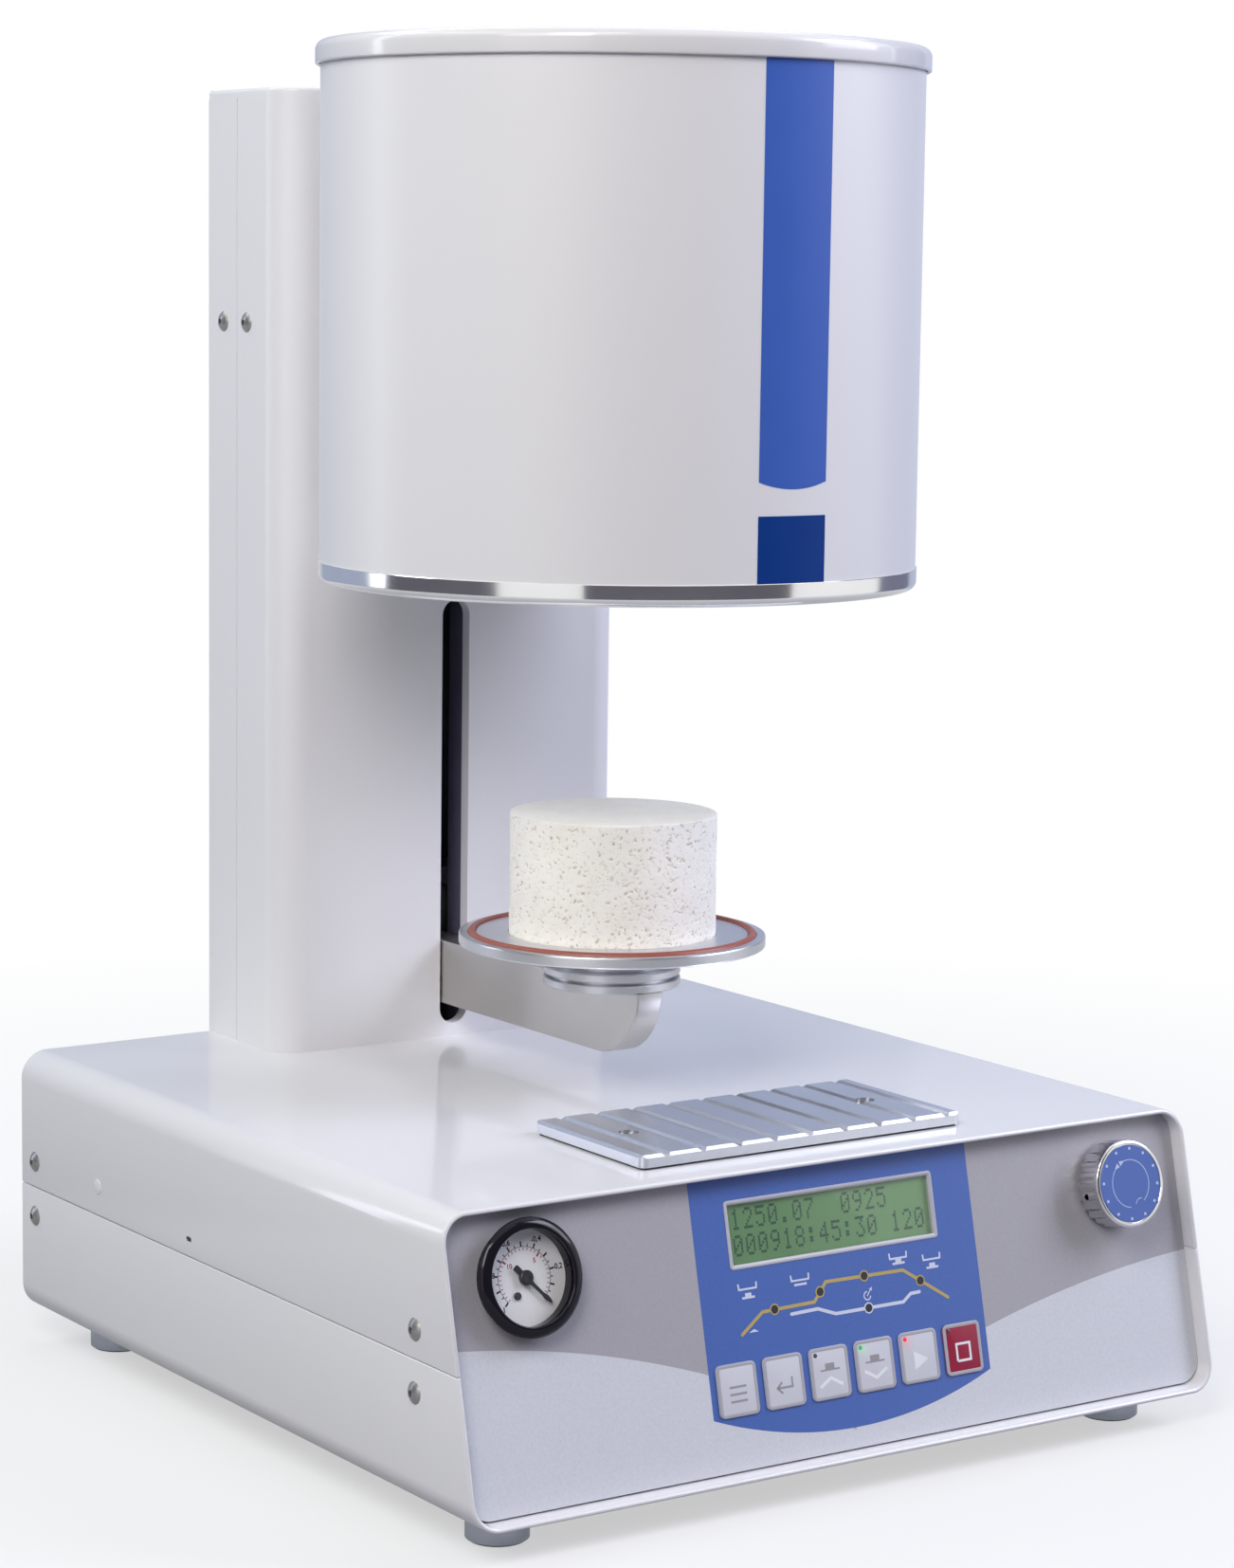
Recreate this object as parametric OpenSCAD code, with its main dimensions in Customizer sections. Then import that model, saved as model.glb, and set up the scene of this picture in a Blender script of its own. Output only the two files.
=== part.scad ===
// Dental lab furnace with a lifting firing table, after one photograph.
// Millimetres, +Z up, the panel faces -Y, and the origin is centred under the feet.

/* [Base case] */
// Width of the base case, side to side
base_w = 370; // [350:1:390]
// Depth of the base case along its bottom
base_d = 380; // [370:1:400]
// Height of the base case without its feet
base_h = 117; // [114:1:124]
// How far the top front edge leans back from the bottom one
front_lean = 27; // [22:1:32]
// Radius of the long edges of the base case
case_r = 12; // [8:0.5:16]
// Thickness of the painted sheet
sheet = 2; // [1.5:0.1:2.5]
// Height of the seam between the two half shells above the case bottom
seam_h = 58; // [54:1:62]
// Height of the feet
foot_h = 14; // [10:1:18]
// Diameter of the feet
foot_d = 25; // [20:1:32]

/* [Front panel] */
// How far the panel sits back inside the sleeve
panel_recess = 6.6; // [5:0.2:9]
// Width of the display window
lcd_w = 100.3; // [92:0.1:104]
// Height of the display window
lcd_h = 23.5; // [20:0.1:26]
// Width of one key
key_w = 18.9; // [16:0.1:19.4]
// Height of one key
key_h = 20.6; // [17:0.1:22]
// Distance from one key to the next
key_pitch = 22.6; // [22:0.1:24]
// How far a key goes in
key_travel = 0.4; // [0.2:0.05:0.45]
// Diameter of the vacuum gauge bezel
gauge_d = 45; // [44:0.5:48]
// Distance of the gauge and the knob from the middle
dial_x = 146; // [138:1:150]
// Diameter of the control knob
knob_d = 35; // [30:0.5:40]
// Depth of the control knob
knob_l = 13; // [11:0.5:18]

/* [Cooling plate] */
// Length of the cooling plate
plate_w = 160; // [150:1:170]
// Depth of the cooling plate
plate_d = 77; // [70:1:84]
// Thickness of the cooling plate
plate_t = 5; // [4:0.5:7]
// Distance from one groove to the next
groove_pitch = 17.6; // [16:0.1:18]

/* [Column] */
// Width of the column
col_w = 181; // [170:1:190]
// Depth of the column
col_d = 66; // [64:1:74]
// Height of the column above the base case
col_h = 425; // [420:1:440]
// Radius of the front edges of the column
col_r = 14.7; // [10:0.1:18]
// Width of the lift slot
slot_w = 14.4; // [14.2:0.1:18]

/* [Lift and table] */
// How far the table lifts
travel = 150; // [140:1:150]
// Thickness of the lift arm
arm_t = 13; // [10:0.5:13.2]
// Height of the lift arm
arm_h = 29; // [26:0.5:30]
// Radius of the table disc
disc_r = 65.8; // [60:0.2:72]
// Radius of the firing plug
plug_r = 44.4; // [40:0.2:45]
// Height of the firing plug
plug_h = 52; // [45:0.5:58]
// Thickness of the seal ring
seal_t = 3.5; // [3:0.1:4]

/* [Furnace head] */
// Radius of the furnace head
head_r = 126; // [122:0.5:130]
// Height of the furnace head with its lid
head_h = 224; // [218:1:230]
// Radius of the firing chamber
chamber_r = 47; // [46:0.2:52]
// Gap between the head and the column
head_gap = 2; // [1.5:0.1:3]
// Height of the firing chamber
chamber_h = 110; // [104:1:116]
// Width of the bracket that carries the head
bracket_w = 72; // [60:1:80]
// Height of the bracket that carries the head
bracket_h = 120; // [100:1:130]

/* [Parts inside] */
// Width of the power supply
psu_w = 110; // [100:1:120]
// Depth of the power supply
psu_d = 98; // [90:1:110]
// Height of the power supply
psu_h = 40; // [35:1:50]
// Width of the control board
board_w = 140; // [130:1:150]
// Depth of the control board
board_d = 110; // [100:1:120]
// Side of the square lift motor
motor_w = 42; // [40:1:46]
// Length of the lift motor
motor_l = 40; // [34:1:48]
// Width of the frame of the lift drive
frame_w = 90; // [84:1:100]
// Width of the lift carriage
car_w = 76; // [72:1:80]
// Height of the lift carriage
car_h = 58; // [52:1:64]
// Diameter of the two guide rods
rod_d = 10; // [8:0.5:11]
// Distance of each guide rod from the middle
rod_x = 28; // [26:0.5:30]

/* [Hidden] */
$fn = 96;
gap = 0.3;
rail_t = 3;
strip_t = 2.5;
base_z0 = foot_h;
base_z1 = foot_h + base_h;
y_rear = base_d / 2;
lean = atan(front_lean / base_h);
slant = base_h / cos(lean);
in_x = base_w / 2 - sheet;
in_r = case_r - sheet;
seam_z = base_z0 + seam_h;
rail_x = in_x - rail_t;
screw_up = 11.5;
screw_down = 13;
rear_y = y_rear - 20;
foot_x = base_w / 2 - 31;
foot_y = base_d / 2 - 33;

w_out = -panel_recess;
w_film = w_out - 0.4;
w_back = w_film - 2;
lcd_up = slant - 24.8;
dial_up = slant - 28.2;
key_up = 25.5;
key_x0 = 1.2 - 2.5 * key_pitch - key_w / 2;

plate_y = -base_d / 2 + front_lean + 57.5;
plate_z = base_z1 + 1;
groove_off = 2.6;
hole_x = plate_w / 2 - 20;

col_y = y_rear - col_d;
col_z1 = base_z1 + col_h;
seam_y = col_y + 40;
col_screw_z = col_z1 - 101.5;
col_x = col_w / 2;

head_y = col_y - head_gap - head_r;
arm_z0 = base_z1 + 16;
arm_z1 = arm_z0 + arm_h;
disc_z0 = arm_z1 + 14.5;
disc_z1 = disc_z0 + 7.8;
groove_dp = 2.2;
seal_rr = disc_r - 3.9 - seal_t / 2;
seal_top = disc_z1 - groove_dp + 0.05 + seal_t;
head_z0 = seal_top + travel + gap;
ring_z0 = head_z0 - 1.7;
ring_z1 = ring_z0 + 9;
head_z1 = ring_z0 + head_h;
muffle_z1 = head_z0 + chamber_h;
bracket_z0 = head_z0 + 50;
bracket_z1 = bracket_z0 + bracket_h;
slot_z0 = base_z1 + 6;
slot_z1 = arm_z1 + travel + 5.2;

rod_y = col_y + 39;
low_z1 = base_z1 + 14;
car_z1 = arm_z0 + car_h;
up_z0 = car_z1 + travel + 8;
up_z1 = up_z0 + 14;
motor_z0 = up_z1 + 32;

psu_x = -in_x + 33;
psu_y = -40;
psu_z1 = base_z0 + sheet + psu_h;

inlet_x = 110;
inlet_z = base_z0 + 34;
switch_x = 60;
nipple_x = -110;
nipple_z = base_z0 + 40;

paint = [0.88, 0.88, 0.91];
panel_grey = [0.80, 0.82, 0.89];
steel = [0.72, 0.72, 0.74];
alu = [0.78, 0.78, 0.80];
black = [0.06, 0.06, 0.07];
dark = [0.12, 0.12, 0.14];

// Helpers
// moves a shape into the leaning panel frame: x, up the slope, out of the slope
module on_panel() {
  translate([0, -base_d / 2, base_z0])
    rotate([90 - lean, 0, 0])
      children();
}

// a box given by its low and high corners
module box(a, b) {
  translate(a)
    cube([b[0] - a[0], b[1] - a[1], b[2] - a[2]]);
}

// flat rounded rectangle from its low corner to its high corner
module round_rect(a, b, r) {
  translate([a[0] + r, a[1]])
    square([b[0] - a[0] - 2 * r, b[1] - a[1]]);
  translate([a[0], a[1] + r])
    square([b[0] - a[0], b[1] - a[1] - 2 * r]);
  for (x = [a[0] + r, b[0] - r], y = [a[1] + r, b[1] - r])
    translate([x, y])
      circle(r = r);
}

// a flat outline in x and z, drawn along the depth of the base case
module along_y(y0, y1) {
  translate([0, y1, 0])
    rotate([90, 0, 0])
      linear_extrude(y1 - y0)
        children();
}

// the hollow sleeve of the base case between two heights
module sleeve(z0, z1) {
  difference() {
    intersection() {
      along_y(-base_d / 2, y_rear)
        round_rect([-base_w / 2, base_z0], [base_w / 2, base_z1], case_r);
      box([-base_w, -base_d, z0], [base_w, base_d, z1]);
    }
    along_y(-base_d, base_d)
      round_rect([-in_x, base_z0 + sheet], [in_x, base_z1 - sheet], in_r);
    on_panel()
      box([-base_w, -100, 0], [base_w, 300, 200]);
  }
}

// places its children at the four side screws of one shell, pointing out of the case
module at_case_screws(z) {
  for (s = [-1, 1], y = [-base_d / 2 + 43.5, y_rear - 12.9])
    translate([s * base_w / 2, y, z])
      rotate([0, s * 90, 0])
        children();
}

// places its children at the two column screws of each side
module at_col_screws() {
  for (s = [-1, 1], y = [seam_y - 8.8, seam_y + 12.3])
    translate([s * col_x, y, col_screw_z])
      rotate([0, s * 90, 0])
        children();
}

// domed screw with a hexagon socket, its head standing on z = 0
module domed_screw(l) {
  difference() {
    union() {
      intersection() {
        translate([0, 0, -4.06])
          sphere(r = 6.06);
        cylinder(r = 4.5, h = 3);
      }
      translate([0, 0, -l])
        cylinder(r = 2, h = l + 0.5);
    }
    translate([0, 0, 0.8])
      cylinder(r = 1.4, h = 3, $fn = 6);
  }
}

// Base case
module upper_shell() {
  color(paint)
    difference() {
      sleeve(seam_z + 0.15, base_z1);
      at_case_screws(seam_z + screw_up)
        translate([0, 0, -5])
          cylinder(r = 2.2, h = 10);
      for (x = [-hole_x, hole_x])
        translate([x, plate_y, base_z1 - 5])
          cylinder(r = 2.2, h = 10);
      box([50, col_y + 14, base_z1 - 5], [col_x - 12, y_rear - 12, base_z1 + 5]);
    }
}

module lower_shell() {
  color(paint)
    difference() {
      sleeve(base_z0, seam_z - 0.15);
      at_case_screws(seam_z - screw_down)
        translate([0, 0, -5])
          cylinder(r = 2.2, h = 10);
    }
}

module side_rails() {
  color(steel)
    difference() {
      for (s = [-1, 1])
        box(
          [s > 0 ? rail_x : -in_x, -base_d / 2 + 29, seam_z - 25],
          [s > 0 ? in_x : -rail_x, y_rear - 4, seam_z + 25]
        );
      for (z = [seam_z - screw_down, seam_z + screw_up])
        at_case_screws(z)
          translate([0, 0, -8])
            cylinder(r = 2.05, h = 10);
    }
}

module case_screws() {
  color(steel) {
    for (z = [seam_z - screw_down, seam_z + screw_up])
      at_case_screws(z)
        domed_screw(sheet + rail_t - gap);
    at_col_screws()
      domed_screw(sheet + strip_t + 0.5);
  }
}

module at_feet() {
  for (x = [-foot_x, foot_x], y = [-foot_y, foot_y])
    translate([x, y, 0])
      children();
}

module foot_bodies() {
  color(alu)
    at_feet() {
      translate([0, 0, 3])
        cylinder(r = foot_d / 2, h = foot_h - 4);
      translate([0, 0, foot_h - 1])
        cylinder(r1 = foot_d / 2, r2 = foot_d / 2 - 1, h = 1);
    }
}

module foot_pads() {
  color(black)
    at_feet()
      cylinder(r = foot_d / 2 - 1, h = 3);
}

// Front panel
module key_places() {
  for (i = [0:5])
    translate([key_x0 + i * key_pitch, key_up, 0])
      children();
}

// openings for the display, keys, gauge and knob through a sheet of the panel
module panel_openings(w0, w1, gauge_hole, knob_hole) {
  box(
    [-lcd_w / 2 - 0.4, lcd_up - lcd_h / 2 - 0.4, w0],
    [lcd_w / 2 + 0.4, lcd_up + lcd_h / 2 + 0.4, w1]
  );
  key_places()
    box([-0.35, -0.35, w0], [key_w + 0.35, key_h + 0.35, w1]);
  translate([-dial_x - 1.5, dial_up, w0])
    cylinder(r = gauge_hole, h = w1 - w0);
  translate([dial_x - 1, dial_up, w0])
    cylinder(r = knob_hole, h = w1 - w0);
}

module front_panel() {
  color(panel_grey)
    on_panel() {
      difference() {
        translate([0, 0, w_back])
          linear_extrude(2)
            round_rect([-in_x + gap, 4.4], [in_x - gap, slant - 0.9], in_r);
        panel_openings(w_back - 1, w_film + 1, 20.4, 3.8);
      }
      for (s = [-1, 1])
        box(
          [s > 0 ? rail_x - 2 : -rail_x, seam_h - 18, w_back - 22],
          [s > 0 ? rail_x : -rail_x + 2, seam_h + 18, w_back]
        );
    }
}

module front_overlay() {
  color([0.30, 0.42, 0.72])
    on_panel()
      difference() {
        translate([0, 0, w_film])
          linear_extrude(0.4)
            round_rect([-in_x + gap, 4.4], [in_x - gap, slant - 0.9], in_r);
        panel_openings(w_film - 1, w_out + 1, 20.4, 6.8);
      }
}

module display_window() {
  color([0.37, 0.57, 0.31, 0.6])
    on_panel()
      box(
        [-lcd_w / 2 - 0.1, lcd_up - lcd_h / 2 - 0.1, w_back + 0.4],
        [lcd_w / 2 + 0.1, lcd_up + lcd_h / 2 + 0.1, w_out - 0.2]
      );
}

module lcd_module() {
  color([0.20, 0.38, 0.20])
    on_panel() {
      box([-58, lcd_up - 17, w_back - 9], [58, lcd_up + 17, w_back]);
      box(
        [-lcd_w / 2, lcd_up - lcd_h / 2, w_back - 1],
        [lcd_w / 2, lcd_up + lcd_h / 2, w_back + 0.4]
      );
    }
}

module keypad_board() {
  color([0.10, 0.35, 0.18])
    on_panel() {
      box([-72, key_up - 8, w_back - 7], [74, key_up + key_h + 6, w_back - 5.4]);
      for (x = [-70, 72], y = [key_up - 5, key_up + key_h + 3])
        translate([x, y, w_back - 6])
          cylinder(r = 2, h = 6);
      key_places()
        translate([key_w / 2, key_h / 2, w_back - 6])
          cylinder(r = 3, h = 1.9);
    }
}

// one key: its cap in the panel, the lip that holds it in, and its stem
module key_cap(i, c) {
  color(c)
    on_panel()
      translate([key_x0 + i * key_pitch, key_up, 0]) {
        box([0, 0, w_back - 0.9], [key_w, key_h, w_out + 0.3 + key_travel]);
        box([-1, -1, w_back - 1.3], [key_w + 1, key_h + 1, w_back - 0.3]);
        translate([key_w / 2, key_h / 2, w_back - 4.1 + key_travel + 0.15])
          cylinder(r = 2, h = 3);
      }
}

module key_1() {
  key_cap(0, [0.82, 0.83, 0.87]);
}

module key_2() {
  key_cap(1, [0.82, 0.83, 0.87]);
}

module key_3() {
  key_cap(2, [0.82, 0.83, 0.87]);
}

module key_4() {
  key_cap(3, [0.82, 0.83, 0.87]);
}

module key_5() {
  key_cap(4, [0.82, 0.83, 0.87]);
}

module key_6() {
  key_cap(5, [0.62, 0.10, 0.25]);
}

// Vacuum gauge
module at_gauge() {
  on_panel()
    translate([-dial_x - 1.5, dial_up, w_out])
      children();
}

module gauge_case() {
  color(dark)
    at_gauge()
      difference() {
        union() {
          translate([0, 0, -30])
            cylinder(r = 20, h = 35.6);
          translate([0, 0, -42])
            cylinder(r = 6, h = 13);
        }
        translate([0, 0, 0.6])
          cylinder(r = 18.6, h = 10);
        translate([0, 0, -3])
          cylinder(r = 0.85, h = 5);
      }
}

module gauge_dial() {
  color([0.92, 0.92, 0.92])
    at_gauge()
      difference() {
        translate([0, 0, 0.6])
          cylinder(r = 18.4, h = 0.6);
        cylinder(r = 1.3, h = 3);
      }
}

module gauge_needle() {
  color(black)
    at_gauge()
      rotate([0, 0, -46]) {
        translate([0, 0, -2.6])
          cylinder(r = 0.8, h = 5);
        translate([0, 0, 2])
          cylinder(r = 2.2, h = 1.6);
        box([0, -0.55, 2.3], [14.9, 0.55, 2.9]);
        box([-6.4, -0.9, 2.3], [0, 0.9, 2.9]);
      }
}

module gauge_glass() {
  color([0.9, 0.95, 1.0, 0.3])
    at_gauge()
      translate([0, 0, 5.7])
        cylinder(r = 19.4, h = 1.2);
}

module gauge_bezel() {
  br = gauge_d / 2;
  color(black)
    at_gauge()
      rotate_extrude()
        polygon(concat(
          [[br, 0], [br, 4.5]],
          [for (a = [15:15:135]) [br - 2.9 + 2.9 * cos(a), 4.5 + 4.3 * sin(a)]],
          [[br - 5.2, 7], [19.5, 7], [19.5, 5.6], [20.05, 5.6], [20.05, 0]]
        ));
}

// Control knob
module at_knob() {
  on_panel()
    translate([dial_x - 1, dial_up, w_out])
      children();
}

module encoder_body() {
  color(steel)
    at_knob() {
      difference() {
        union() {
          box([-7, -7, -9.4], [7, 7, -2.4]);
          translate([0, 0, -3])
            cylinder(r = 3.6, h = 4.8);
          translate([0, 0, -0.4])
            cylinder(r = 6.3, h = 1.8, $fn = 6);
        }
        translate([0, 0, -6])
          cylinder(r = 3.05, h = 10);
      }
    }
}

module encoder_shaft() {
  color(steel)
    at_knob()
      translate([0, 0, -5.7])
        cylinder(r = 3, h = 5.7 + knob_l - 2);
}

module control_knob() {
  kr = knob_d / 2;
  color(alu)
    at_knob()
      difference() {
        union() {
          translate([0, 0, 1.6])
            cylinder(r = kr, h = knob_l - 0.8);
          translate([0, 0, knob_l + 0.8])
            cylinder(r1 = kr, r2 = kr - 0.8, h = 0.8);
        }
        translate([0, 0, knob_l + 1])
          cylinder(r = kr - 2.4, h = 2);
        translate([0, 0, 1])
          cylinder(r = 9, h = 3.2);
        translate([0, 0, 1])
          cylinder(r = 3.02, h = knob_l - 3);
        for (i = [0:23])
          rotate([0, 0, 15 * i + 4])
            translate([kr + 0.9, 0, 1])
              cylinder(r = 1.7, h = knob_l - 3.4);
        rotate([0, 0, 191])
          translate([0, 0, 6.5])
            rotate([0, 90, 0])
              cylinder(r = 1.3, h = kr + 5);
      }
}

module knob_inlay() {
  color([0.27, 0.38, 0.68])
    at_knob()
      translate([0, 0, knob_l + 1])
        cylinder(r = knob_d / 2 - 2.6, h = 0.45);
}

// Cooling plate
module plate_gasket() {
  color(dark)
    difference() {
      translate([0, plate_y, base_z1])
        linear_extrude(1)
          round_rect([-plate_w / 2 + 1, -plate_d / 2 + 1], [plate_w / 2 - 1, plate_d / 2 - 1], 2);
      for (x = [-hole_x, hole_x])
        translate([x, plate_y, base_z1 - 1])
          cylinder(r = 2.3, h = 4);
    }
}

// side view of a bar with its two top edges broken
module edged_bar(l, t) {
  c = 1.2;
  polygon([
    [-l / 2, 0],
    [l / 2, 0],
    [l / 2, t - c],
    [l / 2 - c, t],
    [-l / 2 + c, t],
    [-l / 2, t - c]
  ]);
}

module cooling_plate() {
  color(alu)
    difference() {
      intersection() {
        translate([0, plate_y, plate_z])
          linear_extrude(plate_t)
            round_rect([-plate_w / 2, -plate_d / 2], [plate_w / 2, plate_d / 2], 3);
        translate([0, plate_y + plate_d / 2, plate_z])
          rotate([90, 0, 0])
            linear_extrude(plate_d)
              edged_bar(plate_w, plate_t);
        translate([-plate_w / 2, plate_y, plate_z])
          rotate([90, 0, 90])
            linear_extrude(plate_w)
              edged_bar(plate_d, plate_t);
      }
      for (i = [-4:4])
        translate([i * groove_pitch + groove_off, plate_y + plate_d / 2 + 1, plate_z + plate_t])
          rotate([90, 0, 0])
            linear_extrude(plate_d + 2)
              polygon([[-2.6, 0.01], [1.9, 0.01], [0.9, -1.1], [0, -1.5], [-1, -1.3]]);
      for (x = [-hole_x, hole_x])
        translate([x, plate_y, plate_z - 1]) {
          cylinder(r = 2.3, h = 20);
          translate([0, 0, 2.4])
            cylinder(r = 4, h = 20);
        }
    }
}

module plate_screws() {
  color(steel)
    for (x = [-hole_x, hole_x])
      translate([x, plate_y, plate_z + 1.4])
        difference() {
          union() {
            cylinder(r = 3.7, h = plate_t - 3);
            translate([0, 0, -9])
              cylinder(r = 2, h = 9.5);
          }
          translate([0, 0, plate_t - 4.2])
            cylinder(r = 1.45, h = 3, $fn = 6);
        }
}

// Rear panel and connectors
module rear_panel() {
  color(paint) {
    difference() {
      along_y(rear_y - 2, rear_y)
        difference() {
          round_rect([-in_x + gap, base_z0 + sheet + gap], [in_x - gap, base_z1 - sheet - gap], in_r);
          for (s = [-1, 1])
            translate([s * (rail_x + 10), seam_z])
              square([20, 50.6], center = true);
        }
      box([inlet_x - 14, rear_y - 5, inlet_z - 10.8], [inlet_x + 14, rear_y + 5, inlet_z + 10.8]);
      box([switch_x - 11.3, rear_y - 5, inlet_z - 12.3], [switch_x + 11.3, rear_y + 5, inlet_z + 12.3]);
      translate([nipple_x, rear_y - 5, nipple_z])
        rotate([-90, 0, 0])
          cylinder(r = 5.15, h = 10);
    }
    for (s = [-1, 1])
      box(
        [s > 0 ? rail_x - 2 : -rail_x, rear_y - 14, seam_z - 20],
        [s > 0 ? rail_x : -rail_x + 2, rear_y, seam_z + 20]
      );
  }
}

module power_inlet() {
  color(black)
    translate([inlet_x, rear_y, inlet_z]) {
      difference() {
        union() {
          box([-25, 0, -13], [25, 2.5, 13]);
          box([-13.7, -25, -10.5], [13.7, 1, 10.5]);
        }
        translate([0, 3, 0])
          rotate([90, 0, 0])
            linear_extrude(20)
              polygon([[-12.2, -8.2], [12.2, -8.2], [12.2, 3.6], [7.6, 8.2], [-7.6, 8.2], [-12.2, 3.6]]);
      }
      for (x = [-7, 7])
        box([x - 1, -18, -4], [x + 1, -1, 0]);
      box([-1, -18, 2.2], [1, 0, 6.2]);
    }
}

module switch_body() {
  color(black)
    translate([switch_x, rear_y, inlet_z])
      difference() {
        union() {
          box([-13, 0, -14.5], [13, 1.6, 14.5]);
          box([-11, -18, -12], [11, 1, 12]);
        }
        box([-9.1, -10, -10.4], [9.1, 5, 10.4]);
        translate([-20, -2.5, 0])
          rotate([0, 90, 0])
            cylinder(r = 1.55, h = 40);
      }
}

module switch_rocker() {
  color([0.55, 0.05, 0.05])
    translate([switch_x, rear_y - 2.5, inlet_z])
      rotate([10, 0, 0]) {
        translate([-8.8, 0, 0])
          rotate([90, 0, 90])
            linear_extrude(17.6)
              polygon([[-5, -8], [3.2, -9.4], [4.6, 0], [3.2, 9.4], [-5, 8]]);
        translate([-10.7, 0, 0])
          rotate([0, 90, 0])
            cylinder(r = 1.5, h = 21.4);
      }
}

module vacuum_nipple() {
  color([0.75, 0.62, 0.32])
    translate([nipple_x, rear_y, nipple_z])
      rotate([-90, 0, 0])
        difference() {
          union() {
            cylinder(r = 8, h = 6, $fn = 6);
            translate([0, 0, -18])
              cylinder(r = 5, h = 19);
            translate([0, 0, 5])
              cylinder(r = 4, h = 14.5);
            translate([0, 0, -6.5])
              cylinder(r = 8, h = 4.5, $fn = 6);
          }
          translate([0, 0, -20])
            cylinder(r = 2.4, h = 50);
        }
}

module power_supply() {
  color(steel)
    difference() {
      box([psu_x, psu_y, base_z0 + sheet], [psu_x + psu_w, psu_y + psu_d, psu_z1]);
      for (x = [psu_x + 10:12:psu_x + psu_w - 16])
        box([x, psu_y + 12, psu_z1 - 2], [x + 5, psu_y + psu_d - 12, psu_z1 + 1]);
    }
}

module control_board() {
  color([0.10, 0.35, 0.18])
    translate([20, -80, base_z0 + sheet]) {
      for (x = [6, board_w - 6], y = [6, board_d - 6])
        translate([x, y, 0])
          cylinder(r = 3, h = 11);
      box([0, 0, 10], [board_w, board_d, 11.6]);
      box([20, 20, 11], [60, 60, 34]);
      box([80, 15, 11], [125, 35, 26]);
      box([80, 60, 11], [100, 80, 15]);
      for (i = [0:3])
        translate([30 + 14 * i, 90, 11])
          cylinder(r = 5, h = 16);
    }
}

// Column
// flat outline of the column, inset by t on every side
module col_outline(t) {
  r = col_r - t;
  translate([-col_x + t, col_y + col_r])
    square([col_w - 2 * t, col_d - col_r - t]);
  translate([-col_x + col_r, col_y + t])
    square([col_w - 2 * col_r, col_d - 2 * t]);
  for (s = [-1, 1])
    translate([s * (col_x - col_r), col_y + col_r])
      circle(r = r);
}

module col_tube(y0, y1) {
  translate([0, 0, base_z1])
    linear_extrude(col_h - 4)
      difference() {
        intersection() {
          col_outline(0);
          translate([-col_w, y0])
            square([2 * col_w, y1 - y0]);
        }
        col_outline(sheet);
      }
}

// a slot with round ends along z, cut in y
module slot_cut(w, y0, y1) {
  translate([0, y1, 0])
    rotate([90, 0, 0])
      linear_extrude(y1 - y0) {
        translate([-w / 2, slot_z0 + w / 2])
          square([w, slot_z1 - slot_z0 - w]);
        for (z = [slot_z0 + w / 2, slot_z1 - w / 2])
          translate([0, z])
            circle(r = w / 2);
      }
}

module column_shell() {
  color(paint)
    difference() {
      col_tube(col_y - 1, seam_y - 0.2);
      slot_cut(slot_w, col_y - 5, col_y + 10);
      box(
        [-bracket_w / 2 - gap, col_y - 5, bracket_z0 - gap],
        [bracket_w / 2 + gap, col_y + 10, bracket_z1 + gap]
      );
      at_col_screws()
        translate([0, 0, -5])
          cylinder(r = 2.2, h = 10);
    }
}

module column_rear_cover() {
  color(paint)
    difference() {
      col_tube(seam_y + 0.2, y_rear + 1);
      at_col_screws()
        translate([0, 0, -5])
          cylinder(r = 2.2, h = 10);
    }
}

module column_cap() {
  color(paint) {
    translate([0, 0, col_z1 - 4])
      linear_extrude(2.8)
        col_outline(0);
    translate([0, 0, col_z1 - 1.3])
      linear_extrude(0.8)
        col_outline(0.5);
    translate([0, 0, col_z1 - 0.6])
      linear_extrude(0.6)
        col_outline(1.3);
  }
}

module column_strips() {
  color(steel)
    difference() {
      for (s = [-1, 1])
        box(
          [s > 0 ? col_x - sheet - strip_t : -col_x + sheet, seam_y - 19, base_z1],
          [s > 0 ? col_x - sheet : -col_x + sheet + strip_t, seam_y + 21, col_z1 - 6]
        );
      at_col_screws()
        translate([0, 0, -8])
          cylinder(r = 2.05, h = 10);
    }
}

module slot_liner() {
  color(black)
    difference() {
      box([-16, col_y + sheet, base_z1], [16, col_y + sheet + 4, slot_z1 + 8]);
      slot_cut(slot_w + 0.1, col_y, col_y + 10);
    }
}

// Lift drive inside the column
module lift_frame() {
  bolt = motor_w / 2 - 5.5;
  color(black)
    difference() {
      union() {
        box([-frame_w / 2, rod_y + 13, base_z1], [frame_w / 2, rod_y + 18, up_z1]);
        box([-frame_w / 2, rod_y - 13, base_z1], [frame_w / 2, rod_y + 13, low_z1]);
        box([-frame_w / 2, rod_y - 21, up_z0], [frame_w / 2, rod_y + 13, up_z1]);
        for (x = [-bolt, bolt], y = [-bolt, bolt])
          translate([x, rod_y + y, up_z1 - 1])
            cylinder(r = 3, h = motor_z0 - up_z1 + 1);
      }
      for (x = [-rod_x, rod_x])
        translate([x, rod_y, 0]) {
          translate([0, 0, low_z1 - 10])
            cylinder(r = rod_d / 2 + 0.02, h = 20);
          translate([0, 0, up_z0 - 5])
            cylinder(r = rod_d / 2 + 0.02, h = 15);
        }
      translate([0, rod_y, low_z1 - 11.3])
        cylinder(r = 4.05, h = 20);
      translate([0, rod_y, up_z0 - 5])
        cylinder(r = 4.05, h = 30);
    }
}

module guide_rods() {
  color(steel)
    for (x = [-rod_x, rod_x])
      translate([x, rod_y, low_z1 - 10])
        cylinder(r = rod_d / 2, h = up_z0 - low_z1 + 20);
}

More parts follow.
